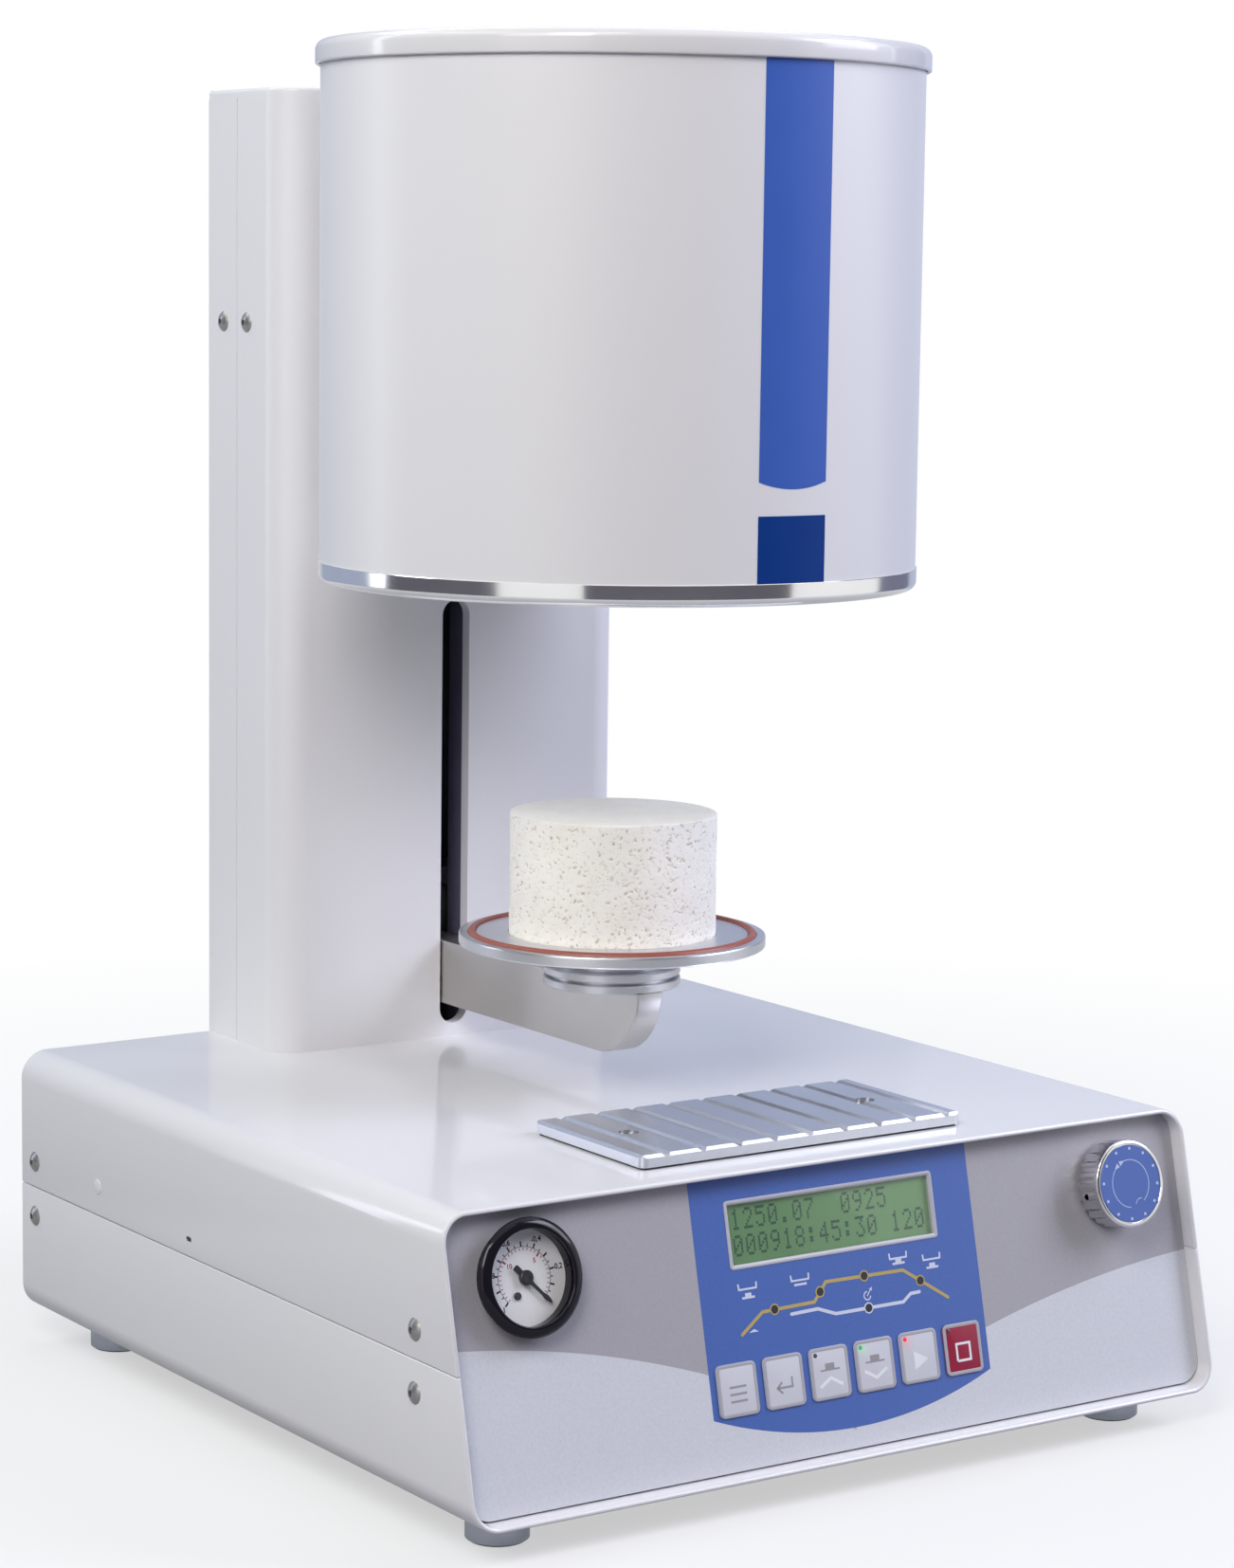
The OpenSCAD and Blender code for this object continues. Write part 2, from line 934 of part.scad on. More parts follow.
module lead_screw() {
  color(steel)
    translate([0, rod_y, 0]) {
      translate([0, 0, low_z1 - 11])
        cylinder(r = 4, h = up_z1 - low_z1 + 24);
      translate([0, 0, low_z1 + gap])
        cylinder(r = 5, h = up_z0 - low_z1 - 2 * gap);
      difference() {
        translate([0, 0, up_z1 + 6])
          cylinder(r = 10, h = 22);
        for (a = [0, 180])
          rotate([0, 0, a])
            box([5.5, -1, up_z1 + 4], [12, 1, up_z1 + 30]);
      }
      translate([0, 0, up_z1 + 26])
        cylinder(r = 2.5, h = motor_z0 - up_z1 - 26 + 9);
    }
}

module lift_motor() {
  mw = motor_w / 2;
  color(dark)
    difference() {
      union() {
        box([-mw, rod_y - mw, motor_z0], [mw, rod_y + mw, motor_z0 + 10]);
        box([1 - mw, rod_y - mw + 1, motor_z0 + 9], [mw - 1, rod_y + mw - 1, motor_z0 + motor_l - 8]);
        box([-mw, rod_y - mw, motor_z0 + motor_l - 9], [mw, rod_y + mw, motor_z0 + motor_l]);
      }
      translate([0, rod_y, motor_z0 - 1])
        cylinder(r = 2.55, h = 11);
    }
}

module lift_carriage() {
  color(alu)
    difference() {
      box([-car_w / 2, rod_y - 13, arm_z0], [car_w / 2, rod_y + 12, car_z1]);
      for (x = [-rod_x, rod_x])
        translate([x, rod_y, arm_z0 - 1])
          cylinder(r = rod_d / 2 + 0.05, h = car_h + 10);
      translate([0, rod_y, arm_z0 - 1])
        cylinder(r = 10.02, h = 80);
    }
}

module lift_nut() {
  color([0.75, 0.62, 0.32])
    difference() {
      translate([0, rod_y, 0]) {
        translate([0, 0, car_z1 - 40])
          cylinder(r = 10, h = 41);
        translate([0, 0, car_z1])
          cylinder(r = 12, h = 5);
      }
      translate([0, rod_y, arm_z0])
        cylinder(r = 5.05, h = 90);
    }
}

module lift_arm() {
  color([0.62, 0.62, 0.62]) {
    box([-arm_t / 2, head_y, arm_z0], [arm_t / 2, rod_y - 16, arm_z1]);
    box([-20, rod_y - 17, arm_z0], [20, rod_y - 13, arm_z0 + 50]);
    intersection() {
      translate([-arm_t / 2, head_y, arm_z1])
        rotate([0, 90, 0])
          cylinder(r = arm_h, h = arm_t);
      box([-arm_t, head_y - arm_h - 1, arm_z0 - 1], [arm_t, head_y + 1, arm_z1]);
    }
  }
}

// Firing table
module table_collar() {
  color(alu)
    translate([0, head_y, arm_z1])
      rotate_extrude()
        polygon([
          [0, 0], [29, 0], [29.5, 0.5], [29.5, 3.6], [29.1, 4], [27.4, 4],
          [27.4, 5.2], [29.1, 5.2], [29.5, 5.6], [29.5, 8], [29, 8.5], [24, 8.5],
          [24, 14.5], [8, 14.5], [8, 18.5], [0, 18.5]
        ]);
}

module table_disc() {
  zs = disc_z1 - disc_z0;
  g0 = seal_rr - seal_t / 2 - 0.1;
  g1 = seal_rr + seal_t / 2 + 0.1;
  color(alu)
    translate([0, head_y, disc_z0])
      rotate_extrude()
        polygon([
          [0, 4.3], [8.03, 4.3], [8.03, 0], [42, 0],
          [disc_r - 0.6, 3], [disc_r, 3.4], [disc_r, zs - 0.5], [disc_r - 0.5, zs],
          [g1, zs], [g1, zs - groove_dp], [g0, zs - groove_dp], [g0, zs],
          [plug_r + 0.25, zs], [plug_r + 0.25, zs - 0.8], [0, zs - 0.8]
        ]);
}

module seal_ring() {
  color([0.55, 0.26, 0.22])
    translate([0, head_y, seal_top - seal_t / 2])
      rotate_extrude()
        translate([seal_rr, 0])
          circle(r = seal_t / 2, $fn = 48);
}

module firing_plug() {
  color([0.97, 0.96, 0.92])
    translate([0, head_y, disc_z1 - 0.8]) {
      cylinder(r = plug_r, h = plug_h);
      translate([0, 0, plug_h])
        cylinder(r1 = plug_r, r2 = plug_r - 0.8, h = 0.8);
    }
}

// Furnace head
module at_head() {
  translate([0, head_y, 0])
    children();
}

module head_ring() {
  color(steel)
    at_head()
      rotate_extrude()
        polygon(concat(
          [[head_r - 8.2, ring_z0], [head_r - 3, ring_z0]],
          [for (a = [-75:15:0]) [head_r - 3 + 3.5 * cos(a), ring_z0 + 3.5 + 3.5 * sin(a)]],
          [[head_r + 0.5, ring_z1], [head_r - 14, ring_z1]],
          [[head_r - 14, head_z0 + 2.5], [head_r - 8.2, head_z0 + 2.5]]
        ));
}

module head_bottom_plate() {
  color(steel)
    at_head()
      difference() {
        translate([0, 0, head_z0])
          cylinder(r = head_r - 8.5, h = 2.5);
        translate([0, 0, head_z0 - 1])
          cylinder(r = chamber_r, h = 5);
      }
}

module head_shell() {
  color(paint)
    at_head()
      difference() {
        translate([0, 0, ring_z1])
          cylinder(r = head_r, h = head_z1 - 2.5 - ring_z1, $fn = 128);
        translate([0, 0, ring_z1 - 1])
          cylinder(r = head_r - 1.5, h = head_h, $fn = 128);
        box(
          [-bracket_w / 2 + 6, head_r - 20, bracket_z0 + 6],
          [bracket_w / 2 - 6, head_r + 20, bracket_z1 - 6]
        );
      }
}

module head_lid() {
  color(paint)
    at_head()
      rotate_extrude($fn = 128)
        polygon(concat(
          [[head_r + 0.3, head_z1 - 10], [head_r + 2.2, head_z1 - 10]],
          [for (a = [0:15:90]) [head_r - 1.8 + 4 * cos(a), head_z1 - 4 + 4 * sin(a)]],
          [[0, head_z1], [0, head_z1 - 2.5], [head_r + 0.3, head_z1 - 2.5]]
        ));
}

module muffle() {
  color([0.93, 0.90, 0.85])
    at_head()
      difference() {
        translate([0, 0, head_z0 + 2.5])
          cylinder(r = chamber_r + 2.5, h = muffle_z1 - head_z0 - 2.7);
        translate([0, 0, head_z0])
          cylinder(r = chamber_r, h = chamber_h + 10);
      }
}

module heating_coil() {
  cr = chamber_r + 4.4;
  color([0.55, 0.50, 0.46])
    at_head() {
      for (i = [0:9])
        translate([0, 0, head_z0 + 10 + i * (chamber_h - 20) / 9])
          rotate_extrude()
            translate([cr, 0])
              circle(r = 1.4, $fn = 24);
      for (a = [84, 96])
        rotate([0, 0, a])
          box([cr - 1, -1, head_z0 + 2.5], [cr + 1, 1, muffle_z1 - 9]);
    }
}

module insulation() {
  cr = chamber_r + 6.2;
  color([0.90, 0.88, 0.82])
    at_head()
      difference() {
        rotate_extrude()
          polygon([
            [cr, head_z0 + 2.6], [head_r - 14.3, head_z0 + 2.6],
            [head_r - 14.3, ring_z1 + 0.2], [head_r - 2.5, ring_z1 + 0.2],
            [head_r - 2.5, head_z1 - 24], [0, head_z1 - 24],
            [0, muffle_z1], [cr, muffle_z1]
          ]);
        box(
          [-bracket_w / 2 + 5, head_r - 12, bracket_z0 + 5],
          [bracket_w / 2 - 5, head_r + 20, bracket_z1 - 5]
        );
      }
}

module head_bracket() {
  color(steel)
    difference() {
      union() {
        box(
          [-bracket_w / 2, head_y + head_r - 14, bracket_z0],
          [bracket_w / 2, col_y + 6, bracket_z1]
        );
        box(
          [-bracket_w / 2 - 14, col_y + sheet, bracket_z0 - 10],
          [bracket_w / 2 + 14, col_y + 6, bracket_z1 + 10]
        );
      }
      at_head()
        translate([0, 0, head_z0])
          cylinder(r = head_r + 0.05, h = 300, $fn = 128);
    }
}

upper_shell();
lower_shell();
side_rails();
case_screws();
foot_bodies();
foot_pads();
front_panel();
front_overlay();
display_window();
lcd_module();
keypad_board();
key_1();
key_2();
key_3();
key_4();
key_5();
key_6();
gauge_case();
gauge_dial();
gauge_needle();
gauge_glass();
gauge_bezel();
encoder_body();
encoder_shaft();
control_knob();
knob_inlay();
plate_gasket();
cooling_plate();
plate_screws();
rear_panel();
power_inlet();
switch_body();
switch_rocker();
vacuum_nipple();
power_supply();
control_board();
column_shell();
column_rear_cover();
column_cap();
column_strips();
slot_liner();
lift_frame();
guide_rods();
lead_screw();
lift_motor();
lift_carriage();
lift_nut();
lift_arm();
table_collar();
table_disc();
seal_ring();
firing_plug();
head_ring();
head_bottom_plate();
head_shell();
head_lid();
muffle();
heating_coil();
insulation();
head_bracket();
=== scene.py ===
# %% [markdown]
# # A dental lab furnace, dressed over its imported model
#
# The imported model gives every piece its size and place. This lesson gives the pieces their looks:
# paint, polished and turned metal, a printed panel, a gauge behind glass and a pitted ceramic plug.
# New pieces are surfaces worked out with numpy, and every finish is a small tree of shader nodes.

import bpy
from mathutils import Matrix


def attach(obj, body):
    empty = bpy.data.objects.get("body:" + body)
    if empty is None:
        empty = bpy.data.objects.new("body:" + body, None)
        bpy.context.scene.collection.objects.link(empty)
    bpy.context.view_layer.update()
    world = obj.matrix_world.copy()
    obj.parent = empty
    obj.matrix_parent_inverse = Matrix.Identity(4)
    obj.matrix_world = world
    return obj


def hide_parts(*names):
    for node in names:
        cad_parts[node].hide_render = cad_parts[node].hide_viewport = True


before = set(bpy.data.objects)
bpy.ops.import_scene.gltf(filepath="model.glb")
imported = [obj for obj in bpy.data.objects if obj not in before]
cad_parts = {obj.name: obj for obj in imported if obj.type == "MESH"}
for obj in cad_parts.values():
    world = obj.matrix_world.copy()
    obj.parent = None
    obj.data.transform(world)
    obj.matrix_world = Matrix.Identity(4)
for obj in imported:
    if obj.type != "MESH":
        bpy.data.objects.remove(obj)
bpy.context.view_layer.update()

# %% Tools that the lesson uses
import math

import bpy
import numpy as np
from mathutils import Matrix, Vector

MM = 0.001
scene = bpy.context.scene
scene.view_settings.view_transform = "Standard"
print("Blender", bpy.app.version_string)

# %% [markdown]
# ## The camera
#
# A photograph is matched with a camera at the place where the real one stood. It could be moved by
# hand until edges line up, but edges of known size, such as the base case and the drum, give the
# place, the turn and the focal length by least squares. The values below come from such a fit.

# %% Put the camera where the photographer stood
photo_h = 1654
focal_px = 4109.3
camera_place = Vector((-930.2, -1363.9, 479.9)) * MM
turn, tilt, roll = np.radians([34.417, 7.529, 0.769])


def camera_axes(turn, tilt, roll):
    """Right, up and back of a camera that is turned right of +Y, tilted down and then rolled."""
    ahead = Vector((math.sin(turn) * math.cos(tilt), math.cos(turn) * math.cos(tilt), -math.sin(tilt)))
    level = Vector((math.cos(turn), -math.sin(turn), 0))
    rise = level.cross(ahead)
    right = level * math.cos(roll) + rise * math.sin(roll)
    up = rise * math.cos(roll) - level * math.sin(roll)
    return right, up, -ahead


camera_data = bpy.data.cameras.new("camera")
camera_data.sensor_fit = "VERTICAL"
camera_data.sensor_height = 36.0
camera_data.lens = focal_px / photo_h * camera_data.sensor_height
camera = bpy.data.objects.new("camera", camera_data)
camera.matrix_world = Matrix(camera_axes(turn, tilt, roll)).transposed().to_4x4()
camera.location = camera_place
scene.collection.objects.link(camera)
scene.camera = camera
print("lens", round(camera_data.lens, 2), "mm")

# %% [markdown]
# ## Shader helpers
#
# A node tree in code is a list of nodes and of links between their sockets. Two small helpers keep
# it short: one adds a node and fills its sockets, the other starts a material with one shader.

# %% Helpers that wire nodes
def fill(tree, socket, value):
    """Links a socket to another one, or sets it to a plain value."""
    if isinstance(value, bpy.types.NodeSocket):
        tree.links.new(value, socket)
    else:
        socket.default_value = value


def add(tree, kind, settings=None, **inputs):
    """Adds a shader node. A word such as Base_Color names an input, and in0 or in1 gives its number."""
    node = tree.nodes.new("ShaderNode" + kind)
    for word, value in (settings or {}).items():
        setattr(node, word, value)
    for word, value in inputs.items():
        name = int(word[2:]) if word[:2] == "in" and word[2:].isdigit() else word.replace("_", " ")
        fill(tree, node.inputs[name], value)
    return node


def reckon(tree, operation, a, b=0.0, c=0.0):
    """One step of arithmetic between two numbers, as a socket."""
    return add(tree, "Math", {"operation": operation}, in0=a, in1=b, in2=c).outputs[0]


def reckon_vector(tree, operation, a, b=(0.0, 0.0, 0.0), out=0):
    """One step of arithmetic between two vectors, as a socket: output 0 is a vector, 1 a number."""
    return add(tree, "VectorMath", {"operation": operation}, in0=a, in1=b).outputs[out]


def scaled_by(tree, vector, factor):
    """A vector or a colour times a number, as a socket."""
    return add(tree, "VectorMath", {"operation": "SCALE"}, in0=vector, Scale=factor).outputs[0]


def blended(tree, share, a, b):
    """Colour a where share is 0 and colour b where it is 1."""
    node = add(tree, "Mix", {"data_type": "RGBA"}, in0=share, in6=a, in7=b)
    return node.outputs[2]


def mapped(tree, value, low, high, new_low, new_high):
    """A number moved from one range to another, without going past its ends."""
    node = add(tree, "MapRange", None, Value=value, in1=low, in2=high, in3=new_low, in4=new_high)
    return node.outputs[0]


def new_finish(name, colour, roughness=0.5, **more):
    """A material with one Principled shader, and its tree and shader for more work."""
    material = bpy.data.materials.new(name)
    material.use_nodes = True
    tree = material.node_tree
    shader = tree.nodes["Principled BSDF"]
    fill(tree, shader.inputs["Base Color"], (*colour, 1.0))
    fill(tree, shader.inputs["Roughness"], roughness)
    for word, value in more.items():
        fill(tree, shader.inputs[word.replace("_", " ")], value)
    return material, tree, shader


def place_in(tree, scale=(1.0, 1.0, 1.0)):
    """The place of a point on the object in metres, stretched along the axes by scale."""
    where = add(tree, "TexCoord").outputs["Object"]
    return reckon_vector(tree, "MULTIPLY", where, scale)


def noise(tree, where, scale, detail=2.0, roughness=0.5):
    """Soft random values between 0 and 1 over a place."""
    node = add(tree, "TexNoise", None, Vector=where, Scale=scale, Detail=detail, Roughness=roughness)
    return node.outputs[0]


def raise_by(tree, shader, height, depth_mm, strength=1.0, coat=False):
    """Tilts the light on a surface as if height raised it by up to depth_mm."""
    bump = add(tree, "Bump", None, Height=height, Distance=depth_mm * MM, Strength=strength)
    fill(tree, shader.inputs["Normal"], bump.outputs[0])
    if coat:
        fill(tree, shader.inputs["Coat Normal"], bump.outputs[0])


def tinted(colour, factor):
    """A colour made lighter or darker, with its alpha, for a shader socket."""
    return (*[min(1.0, c * factor) for c in colour], 1.0)


def drift_tone(tree, shader, share, colour, dark, light):
    """Lets the base colour drift between two tints of one colour."""
    tone = blended(tree, share, tinted(colour, dark), tinted(colour, light))
    fill(tree, shader.inputs["Base Color"], tone)


print("a lighter tint of grey:", tinted((0.5, 0.5, 0.5), 1.1))

# %% [markdown]
# ## The studio
#
# The furnace was photographed on white and cut out. A white floor and a white world give that
# background, and soft boxes give the long soft highlights on its paint and metal. The world could
# light the object too, but then nothing would have a shade side, so it is white only where the
# camera, a mirror or glass sees it, and gives a weak cool fill otherwise.

# %% The world: white to look at, weak as a light
def white_to_see(tree):
    """1 for rays from the camera, from gloss and through glass, 0 for all others."""
    ray = add(tree, "LightPath").outputs
    seen = reckon(tree, "MAXIMUM", ray["Is Camera Ray"], ray["Is Glossy Ray"])
    return reckon(tree, "MAXIMUM", seen, ray["Is Transmission Ray"])


fill_colour, fill_strength = (0.88, 0.91, 1.0, 1.0), 0.05
world = bpy.data.worlds.new("studio")
world.use_nodes = True
scene.world = world
tree = world.node_tree
tree.nodes.clear()
lit = add(tree, "Background", None, Color=fill_colour, Strength=fill_strength)
plain = add(tree, "Background", None, Color=(1, 1, 1, 1), Strength=1.0)
choice = add(tree, "MixShader", None, in0=white_to_see(tree), in1=lit.outputs[0], in2=plain.outputs[0])
add(tree, "OutputWorld", None, Surface=choice.outputs[0])
print("world fill", fill_strength)

# %% The floor: it takes the shadow near the object and turns into plain white further out
floor_radius, clear_from, clear_to, near_share = 6.0, 0.35, 1.1, 0.55
mirror_to, mirror_share = 2.4, 0.28
ring = np.linspace(0, 2 * np.pi, 97)[:-1]
corners = np.stack([np.cos(ring), np.sin(ring), 0 * ring], 1) * floor_radius
floor_mesh = bpy.data.meshes.new("floor")
floor_mesh.from_pydata((corners - [0, 0, 0.0002]).tolist(), [], [list(range(len(corners)))])
floor = bpy.data.objects.new("floor", floor_mesh)
scene.collection.objects.link(floor)

floor_seen, floor_bounce = (0.78, 0.78, 0.79, 1.0), (0.28, 0.28, 0.31, 1.0)
floor_finish, tree, shader = new_finish("floor_white", (0.78, 0.78, 0.79), 0.9, Specular_IOR_Level=0.0)
looked_at = add(tree, "LightPath").outputs["Is Camera Ray"]
fill(tree, shader.inputs["Base Color"], blended(tree, looked_at, floor_bounce, floor_seen))
where = add(tree, "TexCoord").outputs["Object"]
away = reckon_vector(tree, "LENGTH", where, out=1)
ray = add(tree, "LightPath").outputs
direct = reckon(tree, "MAXIMUM", ray["Is Camera Ray"], ray["Is Transmission Ray"])
seen = reckon(tree, "MULTIPLY", mapped(tree, away, clear_from, clear_to, near_share, 1.0), direct)
mirror = mapped(tree, away, clear_from, mirror_to, mirror_share, 1.0)
share = reckon(tree, "MULTIPLY_ADD", mirror, ray["Is Glossy Ray"], seen)
glow = add(tree, "Emission", None, Color=(1, 1, 1, 1), Strength=1.0)
mixed = add(tree, "MixShader", None, in0=share, in1=shader.outputs[0], in2=glow.outputs[0])
fill(tree, tree.nodes["Material Output"].inputs["Surface"], mixed.outputs[0])
floor_mesh.materials.append(floor_finish)
print("floor", 2 * floor_radius, "m across")


# %% Soft boxes
def soft_box(name, azimuth, distance, centre_z, width, height, watts, colour=(1, 1, 1)):
    """An upright area lamp that stands at an azimuth, degrees from +X, and faces the furnace."""
    lamp = bpy.data.lights.new(name, "AREA")
    lamp.shape = "RECTANGLE"
    lamp.size = width
    lamp.size_y = height
    lamp.energy = watts
    lamp.color = colour
    stand = bpy.data.objects.new(name, lamp)
    spot = Vector((math.cos(math.radians(azimuth)), math.sin(math.radians(azimuth)), 0)) * distance
    stand.location = spot + Vector((0, 0, centre_z))
    aim = Vector((0, 0, 0.25)) - stand.location
    stand.rotation_euler = aim.to_track_quat("-Z", "Y").to_euler()
    stand.visible_camera = False
    scene.collection.objects.link(stand)
    return stand


soft_box("left_box", -138, 1.7, 1.55, 0.8, 1.1, 23.5, (1.0, 0.98, 0.97))
soft_box("left_low_box", -160, 1.8, 1.4, 0.8, 1.0, 7.5, (1.0, 0.93, 0.82))
soft_box("side_box", 168, 1.8, 1.7, 1.0, 1.2, 9.5, (0.80, 0.95, 1.0))
soft_box("strip_box", 136, 2.3, 0.8, 0.22, 1.6, 5, (0.80, 0.83, 1.0))
soft_box("right_box", -34, 2.0, 1.25, 1.1, 1.2, 26, (0.80, 0.82, 1.0))
soft_box("right_high_box", -34, 1.8, 1.8, 1.1, 1.2, 15.5, (0.80, 0.84, 1.0))
soft_box("edge_box", 0, 2.0, 1.2, 0.8, 1.6, 7, (0.80, 0.95, 1.0))
soft_box("back_box", 60, 1.6, 2.0, 1.4, 1.0, 10, (0.70, 0.82, 1.0))
soft_box("back_left_box", 115, 1.8, 1.8, 1.0, 1.0, 13, (0.95, 1.0, 1.0))

# %% [markdown]
# ## Dark cards
#
# Polished metal shows nothing but what stands round it. Between bright boxes it needs something
# dark, or it turns into a white blank. Grey cards stand in an arc round the table, between the
# lamps. Only mirror rays see them, so they take no light away and never come into a picture.

# %% Cards round the table
card_radius, card_low, card_top, card_high = 1.5, 0.0, 1.7, 2.6
cards = [
    (-136, -58, card_low, card_top, (0.13, 0.125, 0.15)),
    (-10, 21, card_low, card_top, (0.19, 0.20, 0.28)),
    (21, 45, card_low, card_top, (0.50, 0.54, 0.68)),
    (45, 74, card_low, card_top, (0.38, 0.42, 0.56)),
    (74, 131, card_low, card_top, (0.38, 0.43, 0.56)),
    (140, 192, card_low, card_top, (0.13, 0.125, 0.15)),
    (-62, -20, card_top, card_high, (0.10, 0.10, 0.12)),
    (-172, -130, card_top + 0.25, card_high, (0.10, 0.10, 0.12)),
]


def stand_card(number, start, end, low, high, tone):
    """A curved upright card from one azimuth to another: a row of quads on a circle."""
    t = np.radians(np.linspace(start, end, 25))
    foot = np.stack([np.cos(t), np.sin(t), 0 * t], axis=-1) * card_radius
    points = np.concatenate([foot + [0, 0, low], foot + [0, 0, high]])
    i = np.arange(len(t) - 1)
    mesh = bpy.data.meshes.new(f"card_{number}")
    mesh.from_pydata(points.tolist(), [], np.stack([i, i + 1, i + 1 + len(t), i + len(t)], 1).tolist())
    material = bpy.data.materials.new(f"card_grey_{number}")
    material.use_nodes = True
    tree = material.node_tree
    tree.nodes.clear()
    dull = add(tree, "Emission", None, Color=(*tone, 1), Strength=1.0)
    add(tree, "OutputMaterial", None, Surface=dull.outputs[0])
    mesh.materials.append(material)
    card = bpy.data.objects.new(f"card_{number}", mesh)
    card.visible_camera = card.visible_diffuse = card.visible_shadow = card.visible_transmission = False
    scene.collection.objects.link(card)


for number, place in enumerate(cards, 1):
    stand_card(number, *place)
print("cards:", len(cards))

# %% [markdown]
# ## Reading the frame
#
# Every size below is read from the CAD nodes, in millimetres. The panel leans back, so it gets
# its own three directions: across it, up its slope and out of it. A print or a key is then drawn
# flat, in panel millimetres, and moved onto the slope at the end.

# %% Boxes and corners of CAD nodes
def corners_of(node):
    """All corners of a CAD node's mesh, in millimetres."""
    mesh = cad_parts[node].data
    flat = np.empty(len(mesh.vertices) * 3, np.float32)
    mesh.vertices.foreach_get("co", flat)
    return flat.reshape(-1, 3).astype(float) / MM


def box_of(node):
    """Lowest and highest corner of a CAD node, in millimetres."""
    points = corners_of(node)
    return points.min(0), points.max(0)


low_case, high_case = box_of("lower_shell")[0], box_of("upper_shell")[1]
above_seam = box_of("upper_shell")[0]
seam_z = (box_of("lower_shell")[1][2] + above_seam[2]) / 2
lean = (above_seam[1] - low_case[1]) / (above_seam[2] - low_case[2])
print("case", np.round(high_case - low_case, 1), "seam at", round(seam_z, 2), "lean", round(lean, 4))

# %% The leaning frame of the panel
panel_origin = np.array([0, low_case[1], low_case[2]])
up_slope = np.array([0, lean, 1]) / math.hypot(lean, 1)
out_slope = np.array([0, -1, lean]) / math.hypot(lean, 1)
panel_axes = np.array([[1, 0, 0], up_slope, out_slope])


def onto_panel(points):
    """Panel millimetres (across, up, out) turned into the row's own x, y and z."""
    return panel_origin + np.asarray(points, float) @ panel_axes


def panel_box_of(node):
    """Lowest and highest corner of a node in panel millimetres."""
    local = (corners_of(node) - panel_origin) @ panel_axes.T
    return local.min(0), local.max(0)


film_top = panel_box_of("front_overlay")[1][2]
window_lo, window_hi = panel_box_of("display_window")
gauge_lo, gauge_hi = panel_box_of("gauge_bezel")
knob_lo, knob_hi = panel_box_of("control_knob")
gauge_mid, knob_mid = (gauge_lo + gauge_hi) / 2, (knob_lo + knob_hi) / 2
print("film face at", round(film_top, 2), "gauge", np.round(gauge_mid, 1), "knob", np.round(knob_mid, 1))

# %% [markdown]
# ## Shapes as arrays
#
# A shape is a pair: an array of points and a list of face arrays. A grid of points with quads
# between its rows and columns covers lathe work, bars and rounded slabs alike. The sign of the
# enclosed volume tells whether the faces point out, and points that fall together are welded.

# %% Grids, welding and facing
def grid_faces(rows, cols, round_rows=False, round_cols=False):
    """Quads of a grid that is numbered row by row. A round direction joins its end to its start."""
    r = np.arange(rows if round_rows else rows - 1)[:, None]
    c = np.arange(cols if round_cols else cols - 1)[None, :]
    r1, c1 = (r + 1) % rows, (c + 1) % cols
    quads = [r * cols + c, r * cols + c1, r1 * cols + c1, r1 * cols + c]
    return np.stack(quads, axis=-1).reshape(-1, 4)


def volume_of(points, faces):
    """Enclosed volume: the sum of a . (b x c) / 6 over a fan of triangles in every face."""
    total = 0.0
    for ring in faces:
        a, b, c = points[ring[:, :1]], points[ring[:, 1:-1]], points[ring[:, 2:]]
        total += (a * np.cross(b, c)).sum() / 6
    return total


def facing_out(points, faces):
    """The same shape with its faces turned round if its volume came out negative."""
    if volume_of(points - points.mean(0), faces) < 0:
        faces = [ring[:, ::-1] for ring in faces]
    return points, faces


def welded(points, faces):
    """Joins points closer than a ten-thousandth, and makes quads that lost a corner triangles."""
    keys = np.round(points, 4)
    first, new = np.unique(keys, axis=0, return_index=True, return_inverse=True)[1:]
    points, new, result = points[first], new.ravel(), []
    for ring in faces:
        ring = new[ring]
        if ring.shape[1] != 4:
            result.append(ring)
            continue
        same = ring == np.roll(ring, -1, axis=1)
        result.append(ring[same.sum(1) == 0])
        for k in range(4):
            short = ring[(same.sum(1) == 1) & same[:, k]]
            result.append(np.delete(short, k, axis=1))
    return points, [ring for ring in result if len(ring)]


def joined(shapes):
    """Several shapes as one: the points stacked, and each shape's faces counted on from the last."""
    points, faces, start = [], [], 0
    for p, rings in shapes:
        points.append(p)
        faces += [ring + start for ring in rings]
        start += len(p)
    return np.concatenate(points), faces


def moved(shape, onto):
    """A shape whose points have gone through a function, with its faces as they were."""
    return onto(shape[0]), shape[1]


def placed(shape, onto):
    """The same, for a function that may mirror the shape: its faces are made to point out again."""
    return facing_out(*moved(shape, onto))


def tube(rows, closed=False):
    """A solid from rows of points that each run once round it. The last row joins the first in a
    closed one, and an open one gets a face over both ends."""
    rows = np.array(rows)
    n, m = rows.shape[:2]
    ends = [] if closed else [np.arange(m)[None, ::-1], (n - 1) * m + np.arange(m)[None, :]]
    return facing_out(rows.reshape(-1, 3), [grid_faces(n, m, closed, True), *ends])


def lifted(outline, height):
    """A flat outline as points in space, at one height or with a height for each point."""
    return np.column_stack([outline, np.broadcast_to(height, len(outline))])


def half_across(low, high):
    """Half of what a box measures along x: the radius of a round part."""
    return (high[0] - low[0]) / 2


print("quads round a ring of 8 by 4:", len(grid_faces(8, 4, True, True)))

# %% Making the object
piece_count = 0


